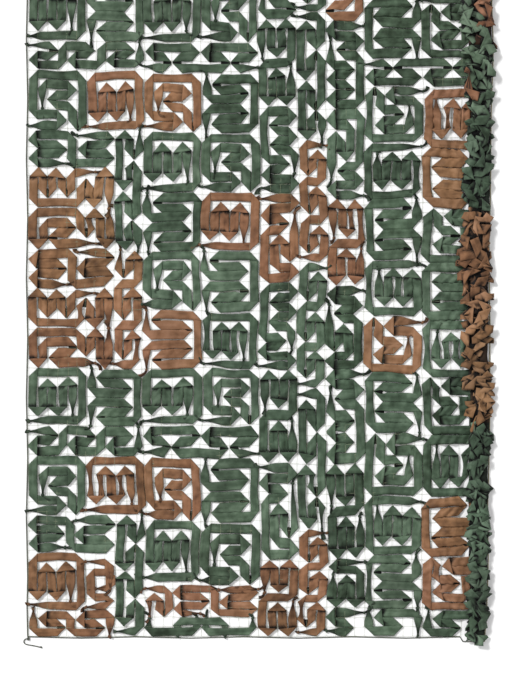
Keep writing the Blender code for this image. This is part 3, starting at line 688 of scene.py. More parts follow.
# %% Panels from the middle to the right
PANELS |= {
    "brown_e1": (Ribbon("comb", 24, NEAR_EDGE, 8.05),),
    "green_e1": (
        Ribbon("hook", 24, 8.05, 18.15),
        Ribbon("comb", 24, 18.15, 27.8),
        Ribbon("zigzag", 24, 27.8, 36.75),
    ),
    "brown_e2": (Ribbon("hook", 24, 36.75, 46.0),),
    "green_e2": (
        Ribbon("zigzag", 24, 46.0, 55.25),
        Ribbon("comb", 24, 55.25, 64.25),
        Ribbon("cap_four", 24, 64.25, FAR_EDGE),
    ),
    "brown_f1": (Ribbon("loops", 28, NEAR_EDGE, 11.3),),
    "green_f1": (
        Ribbon("chain_topped", 28, 11.3, 25.75),
        Ribbon("loops", 28, 25.75, 38.9),
    ),
    "brown_f2": (Ribbon("loops", 28, 38.9, 51.8),),
    "green_f2": (
        Ribbon("chain_topped", 28, 51.8, 65.05),
        Ribbon("cap_three", 28, 65.05, FAR_EDGE),
    ),
    "green_g1": (
        Ribbon("bracket", 31, NEAR_EDGE, 3.0),
        Ribbon("short_comb", 31, 3.0, 8.2),
        Ribbon("comb", 31, 8.2, 18.1),
        Ribbon("zigzag", 31, 18.1, 27.75, "round"),
        Ribbon("hook", 31, 27.75, 36.6, "across"),
    ),
    "brown_g1": (Ribbon("comb", 31, 36.6, 45.55),),
    "green_g2": (
        Ribbon("hook", 31, 45.55, 54.95, "round"),
        Ribbon("zigzag", 31, 54.95, 64.05, "round"),
    ),
    "brown_g2": (Ribbon("cap_four", 31, 64.05, FAR_EDGE, "across"),),
    "green_h1": (
        Ribbon("side_waves", 35, NEAR_EDGE, 2.9),
        Ribbon("side_stack", 35, 2.9, 8.45, "across"),
        Ribbon("frame_comb", 35, 8.45, 14.65, "round"),
        Ribbon("frame_zigzag", 35, 14.65, 21.1, "round"),
        Ribbon("side_stack", 35, 21.1, 27.4, "across"),
    ),
    "brown_h1": (Ribbon("frame_zigzag", 35, 27.4, 33.4, "round"),),
    "green_h2": (
        Ribbon("frame_comb", 35, 33.4, 39.25, "round"),
        Ribbon("side_stack", 35, 39.25, 45.55, "across"),
        Ribbon("frame_comb", 35, 45.55, 51.45, "round"),
        Ribbon("frame_zigzag", 35, 51.45, 57.2, "round"),
    ),
    "green_h3": (
        Ribbon("step_meander", 35, 57.2, 60.2, "over"),
        Ribbon("side_stack", 35, 60.2, 66.5, "across"),
        Ribbon("cap_six", 35, 66.5, FAR_EDGE),
    ),
    "green_i1": (Ribbon("side_waves", 41, NEAR_EDGE, 2.7),),
    "brown_i1": (
        Ribbon("frame_zigzag", 41, 2.7, 8.35, "round"),
        Ribbon("side_stack", 41, 8.35, 14.55, "across"),
    ),
    "green_i2": (
        Ribbon("frame_comb", 41, 14.55, 20.95, "round"),
        Ribbon("frame_zigzag", 41, 20.95, 27.1, "round"),
        Ribbon("frame_comb", 41, 27.1, 33.0, "round"),
        Ribbon("side_stack", 41, 33.0, 38.9, "across"),
        Ribbon("frame_zigzag", 41, 38.9, 44.5, "round"),
    ),
    "brown_i2": (
        Ribbon("side_stack", 41, 44.5, 50.8, "across"),
        Ribbon("frame_comb", 41, 50.8, 57.0, "round"),
    ),
    "green_i3": (
        Ribbon("frame_zigzag", 41, 60.2, 65.9, "round"),
        Ribbon("cap_side", 41, 65.9, FAR_EDGE),
    ),
}
print("ribbons:", sum(len(ribbons) for ribbons in PANELS.values()))

# %% [markdown]
# ## Folding a ribbon
#
# A strip can be folded on a computer the way it is folded by hand. Between two turns it runs straight, and
# at a turn it stops at a slanting line, the bisector of the way in and the way out. Past that line it is
# turned over, so its left edge becomes its right edge. It helps to think of rows of points across the
# strip: a row on each fold line, and rows in between that swing from one slant to the next. The rows are
# then the rows of a grid, which an operator makes, so the strip is one sheet from end to end.
#
# The long runs lie at two heights in turn, which keeps the doubled cloth apart. A single step where the
# strip turns back lies under them or over them. Towards its two knots the strip is drawn together in
# pleats, which keep all of its cloth, and beyond each knot a short tail fans out again.

# %% Rows on folds and at ends
NOSE = 0.012            # cells that a fold stands out past its line
LOWEST = 0.0012         # metres above the ground
STRAIGHT_BACK = 0.02    # a strip that turns back on itself is folded square across
SHARES = [index / ACROSS for index in range(ACROSS + 1)]


def left_of(direction):
    """The direction a quarter turn to the left."""
    return Vector((-direction.y, direction.x))


def fold_row(centre, way_in, way_out, half):
    """Points on the fold line, for each share across the strip as it comes in."""
    along = way_in + way_out
    if along.length < STRAIGHT_BACK:
        along = left_of(way_in)
    reach = along.dot(left_of(way_in))
    nose = (way_in - way_out).normalized() * NOSE
    return [centre + along * ((2 * share - 1) * half / reach) + nose for share in SHARES]


def end_row(centre, direction, half):
    """Points straight across the strip at its end."""
    return [centre + left_of(direction) * (2 * share - 1) * half for share in SHARES]


print("a ribbon has", ACROSS, "faces across")

# %% A run between two folds
ROWS_PER_CELL = 4
FIRST_ROW = 0.06        # cells from a fold to the row next to it
BULGES = (0.0004, 0.0034)   # metres that the middle of a run stands up
PUFFS = (0.0020, 0.0062)    # metres that the cloth rises between two cords of the net
CURLS = (-0.0020, 0.0024)   # metres that an edge curls down or up
SHINGLE = 0.0011        # each run lies a little aslant, so neighbours overlap like shingles
UNEVEN = 0.0006         # metres that this differs from run to run
TWISTED = 0.045         # how likely an upright run is to stand on edge
MORE_LOOSE = 1.6        # the power by which that grows where ribbons lie loose
SHORT = 1.5             # cells: shorter runs never stand on edge
TWIST = (0.32, 0.66)    # share of the width that a run on edge loses to the eye
DRAWN_APART = (0.05, 0.19)  # the same for other runs
STACKED = 4.6           # runs shorter than this many cells lie side by side in stacks
WIDENED = (-0.06, 0.0)  # there the level ones overlap
CLOSED = (-0.03, 0.06)  # and the upright ones nearly touch
PLEATED = 0.1           # a run that loses more of its width than this lies in pleats
PLEAT_SINK = 0.3        # there, cloth rests on what is below it and sinks less than it rises
ROUNDED = 0.6           # share of the bulge that is lost at a run's edges


def pleat(width):
    """How far a pleat rises and falls, in metres, where the strip is drawn in to this share of its width."""
    return RIBBON / ACROSS / 2 * math.sqrt(max(0.0, 1.0 - width * width))


def drawn_in(length, along_x, loose, chance):
    """The share of its width that a run loses to the eye."""
    if chance.random() < TWISTED * loose ** MORE_LOOSE and length > SHORT and not along_x:
        return chance.uniform(*TWIST)
    if length >= STACKED:
        return chance.uniform(*DRAWN_APART)
    return chance.uniform(*(WIDENED if along_x else CLOSED))


def run_rows(start_row, finish_row, level, length, across, loose, chance):
    """Rows along one run, as (points, heights), from just past one fold to just before the next."""
    count = max(3, round(length * ROWS_PER_CELL))
    edge = FIRST_ROW / max(1.0, length)
    places = [edge] + [(index + 0.5) / count for index in range(count)] + [1.0 - edge]
    bulge = chance.uniform(*BULGES) * min(1.0, length / 2) * loose
    puff = chance.uniform(*PUFFS) * loose
    curl = (chance.uniform(*CURLS) * loose, chance.uniform(*CURLS) * loose)
    tilt = SHINGLE * (1 if across.x + across.y > 0 else -1) + chance.uniform(-UNEVEN, UNEVEN) * loose
    if level == UNDER_LEVEL:
        bulge, puff, curl = 0.0, 0.0, (0.0, 0.0)
    along_x = abs(across.y) > abs(across.x)
    pinch = drawn_in(length, along_x, loose, chance)
    rows = []
    for along in places:
        swell = math.sin(math.pi * along)
        middle = start_row[ACROSS // 2] * (1 - along) + finish_row[ACROSS // 2] * along
        cell_wave = math.sin(math.pi * (middle.x if along_x else middle.y)) ** 2
        rise = pleat(1.0 - pinch * swell) if pinch > PLEATED else 0.0
        points = []
        heights = []
        for index, share in enumerate(SHARES):
            point = start_row[index] * (1 - along) + finish_row[index] * along
            q = 2 * share - 1
            lift = bulge * swell * (1 - ROUNDED * q * q) + puff * cell_wave * swell ** 0.5
            lift += curl[0 if q < 0 else 1] * q * q * swell + tilt * q * swell
            lift += rise if index % 2 else -rise * PLEAT_SINK
            points.append(point + (middle - point) * pinch * swell)
            heights.append(max(LOWEST, level + lift))
        rows.append((points, heights))
    return rows


print("a run is drawn in by", DRAWN_APART[0], "to", DRAWN_APART[1])

# %% Gathered ends and tails
NECK = 0.20             # width of a ribbon's gathered end, as a share of its full width
TAPERS = (1.3, 2.7)     # cells over which it narrows
TAPER_LIMIT = 0.9       # or this share of a short run
TAIL_LENGTHS = (0.45, 1.15)     # cells from the knot to the end of the cloth
TAIL_BEND = 1.8         # radians
TAIL_TWIST = 1.5
TAIL_FANS = (0.34, 0.72)    # share of its width to which a tail opens
TAIL_ROWS = 6
TAIL_RISE = 0.002       # metres that a tail starts above the last row


def narrow_end(row, heights, end, direction, taper):
    """Draws the points of a row together in pleats where it is close to the strip's end."""
    side = left_of(direction)
    drawn = []
    lifted = []
    for index, (point, height) in enumerate(zip(row, heights)):
        along = min(1.0, abs((point - end).dot(direction)) / taper)
        width = NECK + (1.0 - NECK) * (0.5 - 0.5 * math.cos(along * math.pi))
        drawn.append(point - side * (point - end).dot(side) * (1.0 - width))
        rise = pleat(width)
        lifted.append(max(height, LOWEST + rise) + (rise if index % 2 else -rise))
    return drawn, lifted


def tail_rows(end, direction, height, landing, share_kept, chance):
    """Rows of the short end beyond a ribbon's knot: pleated cloth that fans out again as it comes down."""
    length = chance.uniform(*TAIL_LENGTHS) * share_kept
    bend = chance.uniform(-TAIL_BEND, TAIL_BEND)
    twist = chance.uniform(-TAIL_TWIST, TAIL_TWIST)
    fan = chance.uniform(*TAIL_FANS)
    rows = []
    here = end.copy()
    heading = math.atan2(direction.y, direction.x)
    for index in range(1, TAIL_ROWS + 1):
        share = index / TAIL_ROWS
        heading += bend / TAIL_ROWS
        here = here + Vector((math.cos(heading), math.sin(heading))) * length / TAIL_ROWS
        side = Vector((-math.sin(heading), math.cos(heading)))
        width = NECK + (fan - NECK) * share
        rise = pleat(width)
        turn = twist * share
        centre = max(height, rise + LOWEST) * (1 - share) + (landing + rise + LOWEST) * share
        points = []
        heights = []
        for column, across in enumerate(SHARES):
            q = (2 * across - 1) * width * RIBBON / 2
            up = rise if column % 2 else -rise
            points.append(here + side * (q * math.cos(turn) - up * math.sin(turn)) / CELL)
            heights.append(max(LOWEST, centre + q * math.sin(turn) + up * math.cos(turn)))
        rows.append((points, heights))
    return rows


def mirrored(rows):
    """The same rows, with the points of each from right to left."""
    return [(row[::-1], heights[::-1]) for row, heights in rows]


print("a gathered end keeps", NECK, "of its width")

# %% A whole ribbon
FREE_EDGES = (0.002, 0.008)     # metres that the free edge of a step on top stands up


def open_edge(run, way_in, rise):
    """Lets the free edge of a run stand up, where it is folded over the runs that it joins."""
    opened = []
    for points, heights in run:
        middle = points[ACROSS // 2]
        lifted = []
        for point, height in zip(points, heights):
            inwards = max(0.0, (middle - point).dot(way_in) / HALF)
            lifted.append(height + rise * inwards * inwards)
        opened.append((points, lifted))
    return opened


def folded_strip(points, half, levels, folds, chance, loose, tails, lay=run_rows, landing=LOWEST):
    """The rows of a whole ribbon, laid from point to point and folded over at each.

    Each run has its level and each fold its height. tails gives the share of its length that the tail at
    either end keeps. lay makes a run's rows, and landing is the height at which the tails end."""
    ways = [(end - start).normalized() for start, end in zip(points, points[1:])]
    rows = []
    flip = 1.0
    last = len(ways) - 1
    start_row = end_row(points[0], ways[0], half)
    for index, way in enumerate(ways):
        start, end = points[index], points[index + 1]
        length = (end - start).length
        if index == last:
            finish_row = end_row(end, way, half * flip)
        else:
            finish_row = fold_row(end, way, ways[index + 1], half * flip)
        run = lay(start_row, finish_row, levels[index], length, left_of(way) * flip, loose, chance)
        if levels[index] == OVER_LEVEL:
            run = open_edge(run, ways[index - 1], chance.uniform(*FREE_EDGES))
        for is_end, knot in ((index == 0 and tails[0], start), (index == last and tails[1], end)):
            if is_end:
                taper = min(chance.uniform(*TAPERS), length * TAPER_LIMIT)
                run = [narrow_end(row, heights, knot, way, taper) for row, heights in run]
        rows += run
        if index < last:
            rows.append((finish_row, [folds[index]] * len(SHARES)))
        start_row = finish_row
        flip = -flip
    if tails[0]:
        tail = tail_rows(points[0], -ways[0], rows[0][1][0] + TAIL_RISE, landing, tails[0], chance)
        rows = mirrored(tail[::-1]) + rows
    if tails[1]:
        tail = tail_rows(points[-1], ways[-1], rows[-1][1][0] + TAIL_RISE, landing, tails[1], chance)
        rows += mirrored(tail) if flip > 0 else tail
    return rows


print("a free edge stands up", FREE_EDGES[0], "to", FREE_EDGES[1], "m")

# %% [markdown]
# Rows become a mesh with a grid operator: it makes all the faces, and each vertex only moves to its place.
# The UV map takes the running length along the strip and the distance across it, both in metres, so the
# weave stays the same size everywhere.

# %% From rows to a sheet of cloth
PLEAT_PAINTED_SHADE = 0.85       # painted shade where pleats shade each other
CRUMPLES = 24.0         # small bumps in a metre
CRUMPLE = 0.0007        # and their height in metres


def point_values(mesh, name, values):
    """Adds an attribute with one value for each vertex."""
    attribute = mesh.attributes.new(name, "FLOAT", "POINT")
    for item, value in zip(attribute.data, values):
        item.value = value


def make_sheet(name, rows, place, material, tone, depth):
    """A sheet from rows of (points, heights), and its length. place turns a point and a height into the
    frame's metres, and the last argument tells from point, height and place how much shade, from 0 to 1, is painted on
    the cloth."""
    sheet = bmesh.new()
    across = len(rows[0][0]) - 1
    bmesh.ops.create_grid(sheet, x_segments=across, y_segments=len(rows) - 1, size=1.0)
    sheet.verts.ensure_lookup_table()
    strip = sheet.loops.layers.uv.new("strip")
    travelled = 0.0
    spots = []
    painted_shades = []
    previous = None
    for row_index, (points, heights) in enumerate(rows):
        first = row_index * (across + 1)
        row_painted_shades = []
        for column, (point, height) in enumerate(zip(points, heights)):
            vertex = sheet.verts[first + column]
            vertex.co = place(point, height)
            crumple = noise.noise(vertex.co * CRUMPLES) * CRUMPLE
            vertex.co.z = max(CLOTH, vertex.co.z + crumple)
            row_painted_shades.append(depth(point, height, vertex.co))
        # painted shade where a row is drawn together in pleats that shade each other
        drawn = 1.0 - (sheet.verts[first + across].co - sheet.verts[first].co).length / RIBBON
        painted_shades += [max(PLEAT_PAINTED_SHADE * drawn, own) for own in row_painted_shades]
        middle = sheet.verts[first + across // 2].co
        if previous is not None:
            travelled += (middle - previous).length
        previous = middle.copy()
        spots += [(RIBBON * column / across, travelled) for column in range(across + 1)]
    for face in sheet.faces:
        for loop in face.loops:
            loop[strip].uv = spots[loop.vert.index]
    mesh = mesh_from(name, sheet)
    point_values(mesh, "tone", [tone] * len(painted_shades))
    point_values(mesh, "buried", painted_shades)
    mesh.materials.append(material)
    obj = add_object(name, mesh)
    thick = obj.modifiers.new("cloth", "SOLIDIFY")
    thick.thickness = CLOTH
    thick.offset = 0.0
    return obj, travelled


print("the cloth is", CLOTH, "m thick")

# %% [markdown]
# ## Laying the ribbons
#
# Each row of the table becomes a list of points, one at each turn. The first and last point go nearly half a
# cell further, to the edge of the mesh where the ribbon's end is tied. Each turn is a little off its place,
# which makes the open corners uneven, as on the real net. Towards the gathered side the ribbons lie looser,
# and at the left the net is pulled, which narrows them.

# %% A ribbon's points and levels
TIED_AT = 0.45          # cells from the middle of the last cell to the cord where the end is tied
UNDER_HEAP = 0.4        # how far the ribbons are pressed flat where the gathered side lies on them


def turn_points(ribbon, off, chance):
    """The points of a ribbon's route in cells of its own field: its two ends and its turns."""
    route = ROUTES[ribbon.route]
    x, y = route.start[0] + 0.5, route.start[1] + 0.5
    points = [Vector((x, y))]
    for run in route.runs.split():
        step = STEPS[run[0].lower()]
        count = int(run[1:])
        x += step[0] * count
        y += step[1] * count
        points.append(Vector((x, y)))
    first = (points[0] - points[1]).normalized() * TIED_AT
    last = (points[-1] - points[-2]).normalized() * TIED_AT
    points[0] += first
    points[-1] += last
    for point in points:
        point += Vector((chance.uniform(-off, off), chance.uniform(-off, off)))
    return points


def field_place(ribbon):
    """A function that takes a point of the ribbon's field and a height to the frame."""
    route = ROUTES[ribbon.route]
    scale = (ribbon.high - ribbon.low) / route.high

    def place(point, height):
        x, y = point
        if ribbon.turn in ("across", "round"):
            x = route.wide - x
        if ribbon.turn in ("over", "round"):
            y = route.high - y
        column = ribbon.column + x
        if column > FOLDS_START:
            height = LOWEST + height * UNDER_HEAP
        return on_net(column, ribbon.low + y * scale, height)

    return place


def run_levels(ribbon):
    """Heights of a route's runs. A single step where the ribbon turns back is folded over or under them."""
    runs = ROUTES[ribbon.route].runs.split()
    levels = [RUN_LEVELS[index % 2] for index in range(len(runs))]
    for index in range(1, len(runs) - 1):
        if runs[index][0].isupper():
            levels[index] = OVER_LEVEL
        elif runs[index][1:] == "1" and runs[index - 1][0] == OPPOSITE[runs[index + 1][0]]:
            levels[index] = UNDER_LEVEL
    return levels


def turns_back(levels, points, wanted):
    """Where a ribbon turns back with its single step at the wanted level: the point of the bend, the way
    into it and the way of the step."""
    bends = []
    for index, level in enumerate(levels):
        if level == wanted:
            way_in = (points[index] - points[index - 1]).normalized()
            step = points[index + 1] - points[index]
            bends.append(((points[index] + points[index + 1]) / 2, way_in, step.normalized()))
    return bends


print("levels:", UNDER_LEVEL, RUN_LEVELS, OVER_LEVEL)

# %% [markdown]
# The free edge of a step on top keeps the light from the cloth beside it. Soft light hardly shows a step
# this low, so an attribute paints that shade into the colour, stronger away from the light than towards it.

# %% Shade beside free edges
DEEP = 0.0050           # metres: cloth lower than this gets painted shade
DEEPER = 0.0022         # and darkest this much lower
UNDER_STEP = OVER_LEVEL - 0.0008    # cloth lower than this lies under the steps on top
HALF_CELL = 0.5
SIDEWAYS = 0.7          # a way whose x is larger than this goes to one side
EDGE_SHADOW = 0.60      # cells of cloth that a free edge keeps the light from
EDGE_UPRIGHT = 0.32     # fewer across an upright run
EDGE_BLACK = 0.12       # and cells that it keeps darkest
EDGE_INSIDE = 0.2       # cells that the shade reaches in under the step
EDGE_WIDE = 1.0         # cells to either side of the step's middle
EDGE_DARK = 1.0
EDGE_LIT = 0.35         # how dark it is there, away from the light and towards it


def field_painted_shade(levels, points, lit_way):
    """A function for the painted shade on cloth of the flat part: dark when lowest, and beside a free edge. An
    edge that looks the lit way keeps little light off."""
    bends = turns_back(levels, points, OVER_LEVEL)

    def depth(point, height, place):
        deepest = clamped((DEEP - place.z) / DEEPER)
        if height < UNDER_STEP:
            for middle, way_in, step in bends:
                off = point - middle
                back = -off.dot(way_in) - HALF_CELL
                if abs(off.dot(step)) < EDGE_WIDE and -EDGE_INSIDE < back < EDGE_SHADOW:
                    dark = EDGE_LIT if way_in.x * lit_way < -SIDEWAYS else EDGE_DARK
                    reach = EDGE_SHADOW if abs(way_in.x) > SIDEWAYS else EDGE_UPRIGHT
                    deepest = max(deepest, dark * min(1.0, (reach - back) / (reach - EDGE_BLACK)))
        return deepest

    return depth


print("a free edge shades", EDGE_SHADOW, "of a cell")

# %% [markdown]
# Where a ribbon turns back, its two long runs are pulled apart and the ground shows between them. With the
# single step underneath they part in a slot, which starts at the bend, is soon widest and closes slowly.
# With the step on top they part in a short wedge at its free edge. Both are made on the finished rows: the
# points near a gap move aside, and the nearest ones most.

# %% Gaps between long runs
Gap = namedtuple("Gap", "tip way_in step length width")

SLOT_TIP = 0.45         # a slot starts this far past the bend's middle, in cells
SLOT_WIDEST = 0.70      # it is widest this far from its tip
SLOT_LENGTHS = (1.0, 1.7)
SLOT_WIDTHS = (0.11, 0.24)
SLOT_REACH = 0.30       # cells to either side over which points move
SLOT_LIFT = 0.0030      # metres that the edges of a slot stand up
SLIT_LENGTHS = (0.3, 1.5)
SLIT_WIDTHS = (0.03, 0.13)
SLIT_REACH = 0.40
ABOVE_STEP = UNDER_LEVEL + 0.0015   # cloth higher than this lies over the steps underneath


def slot_shape(back, length):
    """How far open a slot is, from 0 to 1, at a distance from its tip."""
    return min(back / SLOT_WIDEST, (length - back) / (length - SLOT_WIDEST))


def slit_shape(back, length):
    """How far open a slit is, at a distance from the bend."""
    past_edge = back - HALF_CELL
    return min(1.0 + past_edge / HALF_CELL, 1.0 - past_edge / length)


def parted(rows, gaps, moves, shape_at, reach, lift):
    """The rows with their points moved aside from some gaps. moves tells from its height whether a point
    moves, shape_at is a gap's shape, and points less than reach cells to either side move and rise."""
    opened = []
    for row, heights in rows:
        moved = []
        lifted = []
        for point, height in zip(row, heights):
            shift = Vector((0.0, 0.0))
            for gap in gaps if moves(height) else ():
                off = point - gap.tip
                aside = off.dot(gap.step)
                shape = shape_at(-off.dot(gap.way_in), gap.length)
                if abs(aside) < reach and shape > 0.0:
                    near = 1.0 - abs(aside) / reach
                    shift += gap.step * math.copysign(gap.width * shape * near, aside)
                    height += lift * shape * near
            moved.append(point + shift)
            lifted.append(height)
        opened.append((moved, lifted))
    return opened


def open_slots(rows, levels, points, widths, chance):
    """Parts the long runs in a slot where the single step lies underneath."""
    slots = []
    for middle, way_in, step in turns_back(levels, points, UNDER_LEVEL):
        length = chance.uniform(*SLOT_LENGTHS)
        slots.append(Gap(middle + way_in * SLOT_TIP, way_in, step, length, chance.uniform(*widths)))
    return parted(rows, slots, lambda height: height > ABOVE_STEP, slot_shape, SLOT_REACH, SLOT_LIFT)


def open_slits(rows, levels, points, chance):
    """Parts the long runs in a short wedge where the single step lies on top."""
    slits = []
    for middle, way_in, step in turns_back(levels, points, OVER_LEVEL):
        width = chance.uniform(*SLIT_WIDTHS)
        slits.append(Gap(middle, way_in, step, chance.uniform(*SLIT_LENGTHS), width))
    return parted(rows, slits, lambda height: height < UNDER_STEP, slit_shape, SLIT_REACH, 0.0)


print("slots are", SLOT_LENGTHS[0], "to", SLOT_LENGTHS[1], "cells long")

# %% Ribbons on the flat part
OFF_PLACE = 0.075       # cells that a turn may be off its place
LOOSE_RIGHT = 1.8       # how much looser the ribbons lie towards the gathered side
LOOSE_FROM = 34.0       # the column where that starts
LOOSE_OVER = 7.0        # and the columns over which it grows
OFF_LOOSE = 0.4         # how much further off their places that puts their turns
PULLED_LEFT = 0.040     # share of their width that the ribbons lose at the left, where the net is pulled
CLOSED_LEFT = 0.55      # share of its width that a slot loses there
LEFT_ENDS = 40.0        # the column where that ends
LEFT_OVER = 24.0        # and the columns over which it fades
CUT_WIDTHS = (0.965, 1.0)   # the strips aren't cut equally wide
TAIL_AT_ROPE = 0.35     # share of its length that a tail keeps beside the edge rope
TONES = (-0.24, 0.20)   # how much darker or lighter a ribbon is than the next


def lay_ribbon(name, ribbon, node, chance):
    """One ribbon of the table, with its length and the places where its ends are tied."""
    is_brown = node.startswith("brown")
    loose = 1.0 + LOOSE_RIGHT * clamped((ribbon.column - LOOSE_FROM) / LOOSE_OVER)
    left_share = clamped((LEFT_ENDS - ribbon.column) / LEFT_OVER)
    points = turn_points(ribbon, OFF_PLACE * (1.0 + OFF_LOOSE * (loose - 1.0)), chance)
    half = HALF * chance.uniform(*CUT_WIDTHS) * (1.0 - PULLED_LEFT * left_share)
    levels = run_levels(ribbon)
    place = field_place(ribbon)
    free = []
    tails = []
    for point in (points[0], points[-1]):
        spot = place(point, 0.0) - CORNER
        seen = spot.x < FOLDS_START * CELL
        free.append(seen)
        tails.append(seen * (TAIL_AT_ROPE if min(spot.x, spot.y) < CELL else 1.0))
    folds = [(before + after) / 2 for before, after in zip(levels, levels[1:])]
    rows = folded_strip(points, half, levels, folds, chance, loose, tails)
    widths = [width * (1.0 - CLOSED_LEFT * left_share) for width in SLOT_WIDTHS]
    rows = open_slots(rows, levels, points, widths, chance)
    rows = open_slits(rows, levels, points, chance)
    tone = chance.uniform(*TONES)
    lit_way = 1.0 if ribbon.turn in ("across", "round") else -1.0
    cloth = BROWN if is_brown else GREEN
    obj, length = make_sheet(name, rows, place, cloth, tone, field_painted_shade(levels, points, lit_way))
    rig.ride(obj, "root")
    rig.replaces(obj, node)
    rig.slot(obj, "brown_cloth" if is_brown else "green_cloth")
    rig.sheet(obj, flat=(2 * half * CELL, length), held="laid", rests_on=["base_net"])
    ends = [place(point, RUN_LEVELS[0]) for point, seen in zip((points[0], points[-1]), free) if seen]
    return obj, length, ends


chance = random.Random(11)
ribbon_lengths = {}
tied_ends = {"green_cloth": [], "brown_cloth": []}
for node, ribbons in PANELS.items():
    for index, ribbon in enumerate(ribbons, start=1):
        name = f"ribbon_{node}_{index}"
        obj, length, ends = lay_ribbon(name, ribbon, node, chance)
        ribbon_lengths[name] = length
        tied_ends["brown_cloth" if node.startswith("brown") else "green_cloth"] += ends
print("ribbons:", len(ribbon_lengths), "longest:", round(max(ribbon_lengths.values()), 2), "m")

# %% [markdown]
# Each ribbon's end is knotted round a cord of the net. The knot is a small hard lump of the same cloth.
# There are hundreds, so each colour's knots are one mesh of squashed balls, each turned its own way.

# %% Knots at the ribbons' ends
LUMP = 0.0082           # a knot's mean radius
LUMP_SIZES = ((0.9, 1.5), (0.8, 1.1), (0.6, 0.8))   # and how its length, width and height differ from it
LUMP_RISE = 0.0025      # metres above the place where the end is tied
LUMP_ROUGH = 0.0016     # metres that its surface goes in and out
LUMP_CREASES = 260.0    # how often in a metre
# painted shade over each whole knot, whose folds of cloth shade each other
LUMP_PAINTED_SHADE = 0.45


def lumps(name, places, material, slot, chance):
    """One mesh with a knotted lump at every place."""
    joined = bmesh.new()
    for place in places:
        turn = Matrix.Rotation(chance.uniform(0.0, math.tau), 4, "Z")
        size = Matrix.Diagonal((*(chance.uniform(low, high) for low, high in LUMP_SIZES), 1.0))
        spot = Matrix.Translation((place.x, place.y, place.z + LUMP_RISE)) @ turn @ size
        made = bmesh.ops.create_icosphere(joined, subdivisions=2, radius=LUMP, matrix=spot)
        for vertex in made["verts"]:
            vertex.co += noise.noise_vector(vertex.co * LUMP_CREASES) * LUMP_ROUGH
    mesh = mesh_from(name, joined)
    point_values(mesh, "buried", [LUMP_PAINTED_SHADE] * len(mesh.vertices))
    mesh.materials.append(material)
    obj = add_object(name, mesh)
    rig.ride(obj, "root")
    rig.slot(obj, slot)
    return obj


for slot, places in tied_ends.items():
    knotted = lumps(f"ribbon_knots_{slot[:5]}", places, BROWN if "brown" in slot else GREEN, slot, chance)
    print(knotted.name, len(places))

# %% [markdown]
# ## The base net
#
# The net's cords are thin and never quite straight. One curve object holds them all, a spline for each
# cord, and becomes one mesh. The cords pass over some ribbons and under others, which a slow wave in their
# height gives. A knot sits at every crossing.

# %% Net cords
CORD_RADIUS = 0.0007
CORD_WANDER = 0.0032    # sideways
CORD_WAVES = (3.1, 0.7)     # of the noise that gives this, from cord to cord and along a cord
CORD_LEVEL = 0.0062     # mean height
CORD_DIP = 0.0045       # how far the cords go down and up from there
CORD_DIPS = 0.31        # how often in a cell
LAST_COLUMN = 45
LAST_ROW = 68


def cord_height(x, y):
    """Cords dip under the cloth and come up again every few cells."""
    return CORD_LEVEL + CORD_DIP * noise.noise(Vector((x * CORD_DIPS, y * CORD_DIPS, 4.0)))


def net_cord_points(fixed, upright, count):
    """Places along one cord, two to a cell. fixed is its column or its row."""
    points = []
    for index in range(2 * count + 1):
        along = index / 2
        spot = Vector((fixed * CORD_WAVES[0], along * CORD_WAVES[1], 9.0 if upright else 2.0))
        sway = CORD_WANDER / CELL * noise.noise(spot)
        x, y = (fixed + sway, along) if upright else (along, fixed + sway)
        points.append(on_net(x, max(y, NEAR_EDGE), cord_height(x, y)))
    return points


def mesh_of_curve(name, curve):
    """The mesh of a curve, which is removed."""
    shape = add_object(name, curve)
    mesh = bpy.data.meshes.new_from_object(shape.evaluated_get(bpy.context.evaluated_depsgraph_get()))
    bpy.data.objects.remove(shape)
    bpy.data.curves.remove(curve)
    mesh.name = name
    mesh.materials.clear()
    return mesh


def curve_from(name, lines, radius, resolution):
    """A mesh object of round cords along lists of points."""
    curve = bpy.data.curves.new(name, "CURVE")
    curve.dimensions = "3D"
    curve.bevel_depth = radius
    curve.bevel_resolution = resolution
    curve.use_fill_caps = True
    for line in lines:
        spline = curve.splines.new("POLY")
        spline.points.add(len(line) - 1)
        for point, co in zip(spline.points, line):
            point.co = (*co, 1.0)
    return add_object(name, mesh_of_curve(name, curve))


lines = [net_cord_points(column, True, LAST_ROW) for column in range(0, LAST_COLUMN + 1)]
lines += [net_cord_points(row, False, LAST_COLUMN) for row in range(0, LAST_ROW + 1)]
base_net = curve_from("base_net", lines, CORD_RADIUS, 0)
base_net.data.materials.append(NET_CORD)
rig.ride(base_net, "root")
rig.slot(base_net, "green_cloth")
print("net cords:", len(lines), "triangles:", sum(len(f.vertices) - 2 for f in base_net.data.polygons))

# %% Knots of the net
KNOT_RADIUS = 0.0011

knots = bmesh.new()
for column in range(0, LAST_COLUMN + 1):
    for row in range(1, LAST_ROW + 1):
        spot = Matrix.Translation(on_net(column, row, cord_height(column, row)))
        bmesh.ops.create_icosphere(knots, subdivisions=1, radius=KNOT_RADIUS, matrix=spot)
net_knots = add_object("net_knots", mesh_from("net_knots", knots))
net_knots.data.materials.append(NET_CORD)
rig.ride(net_knots, "root")
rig.slot(net_knots, "green_cloth")
print("knots:", (LAST_COLUMN + 1) * LAST_ROW)

# %% [markdown]
# ## The gathered side
#
# On the right the net is pushed together sideways, back and forth in five layers. Its lower layers are one
# sheet on the same folds as the solids, ruffled along its length. Over it lie the ribbons that this stretch
# of net carries, crumpled any way. Each is the same folded strip as before, but its slants no longer follow
# the meshes, and between two folds it arches up and leans over, so dark openings stay between the pieces.

# %% Where the folds lie
Reach = namedtuple("Reach", "row left right")

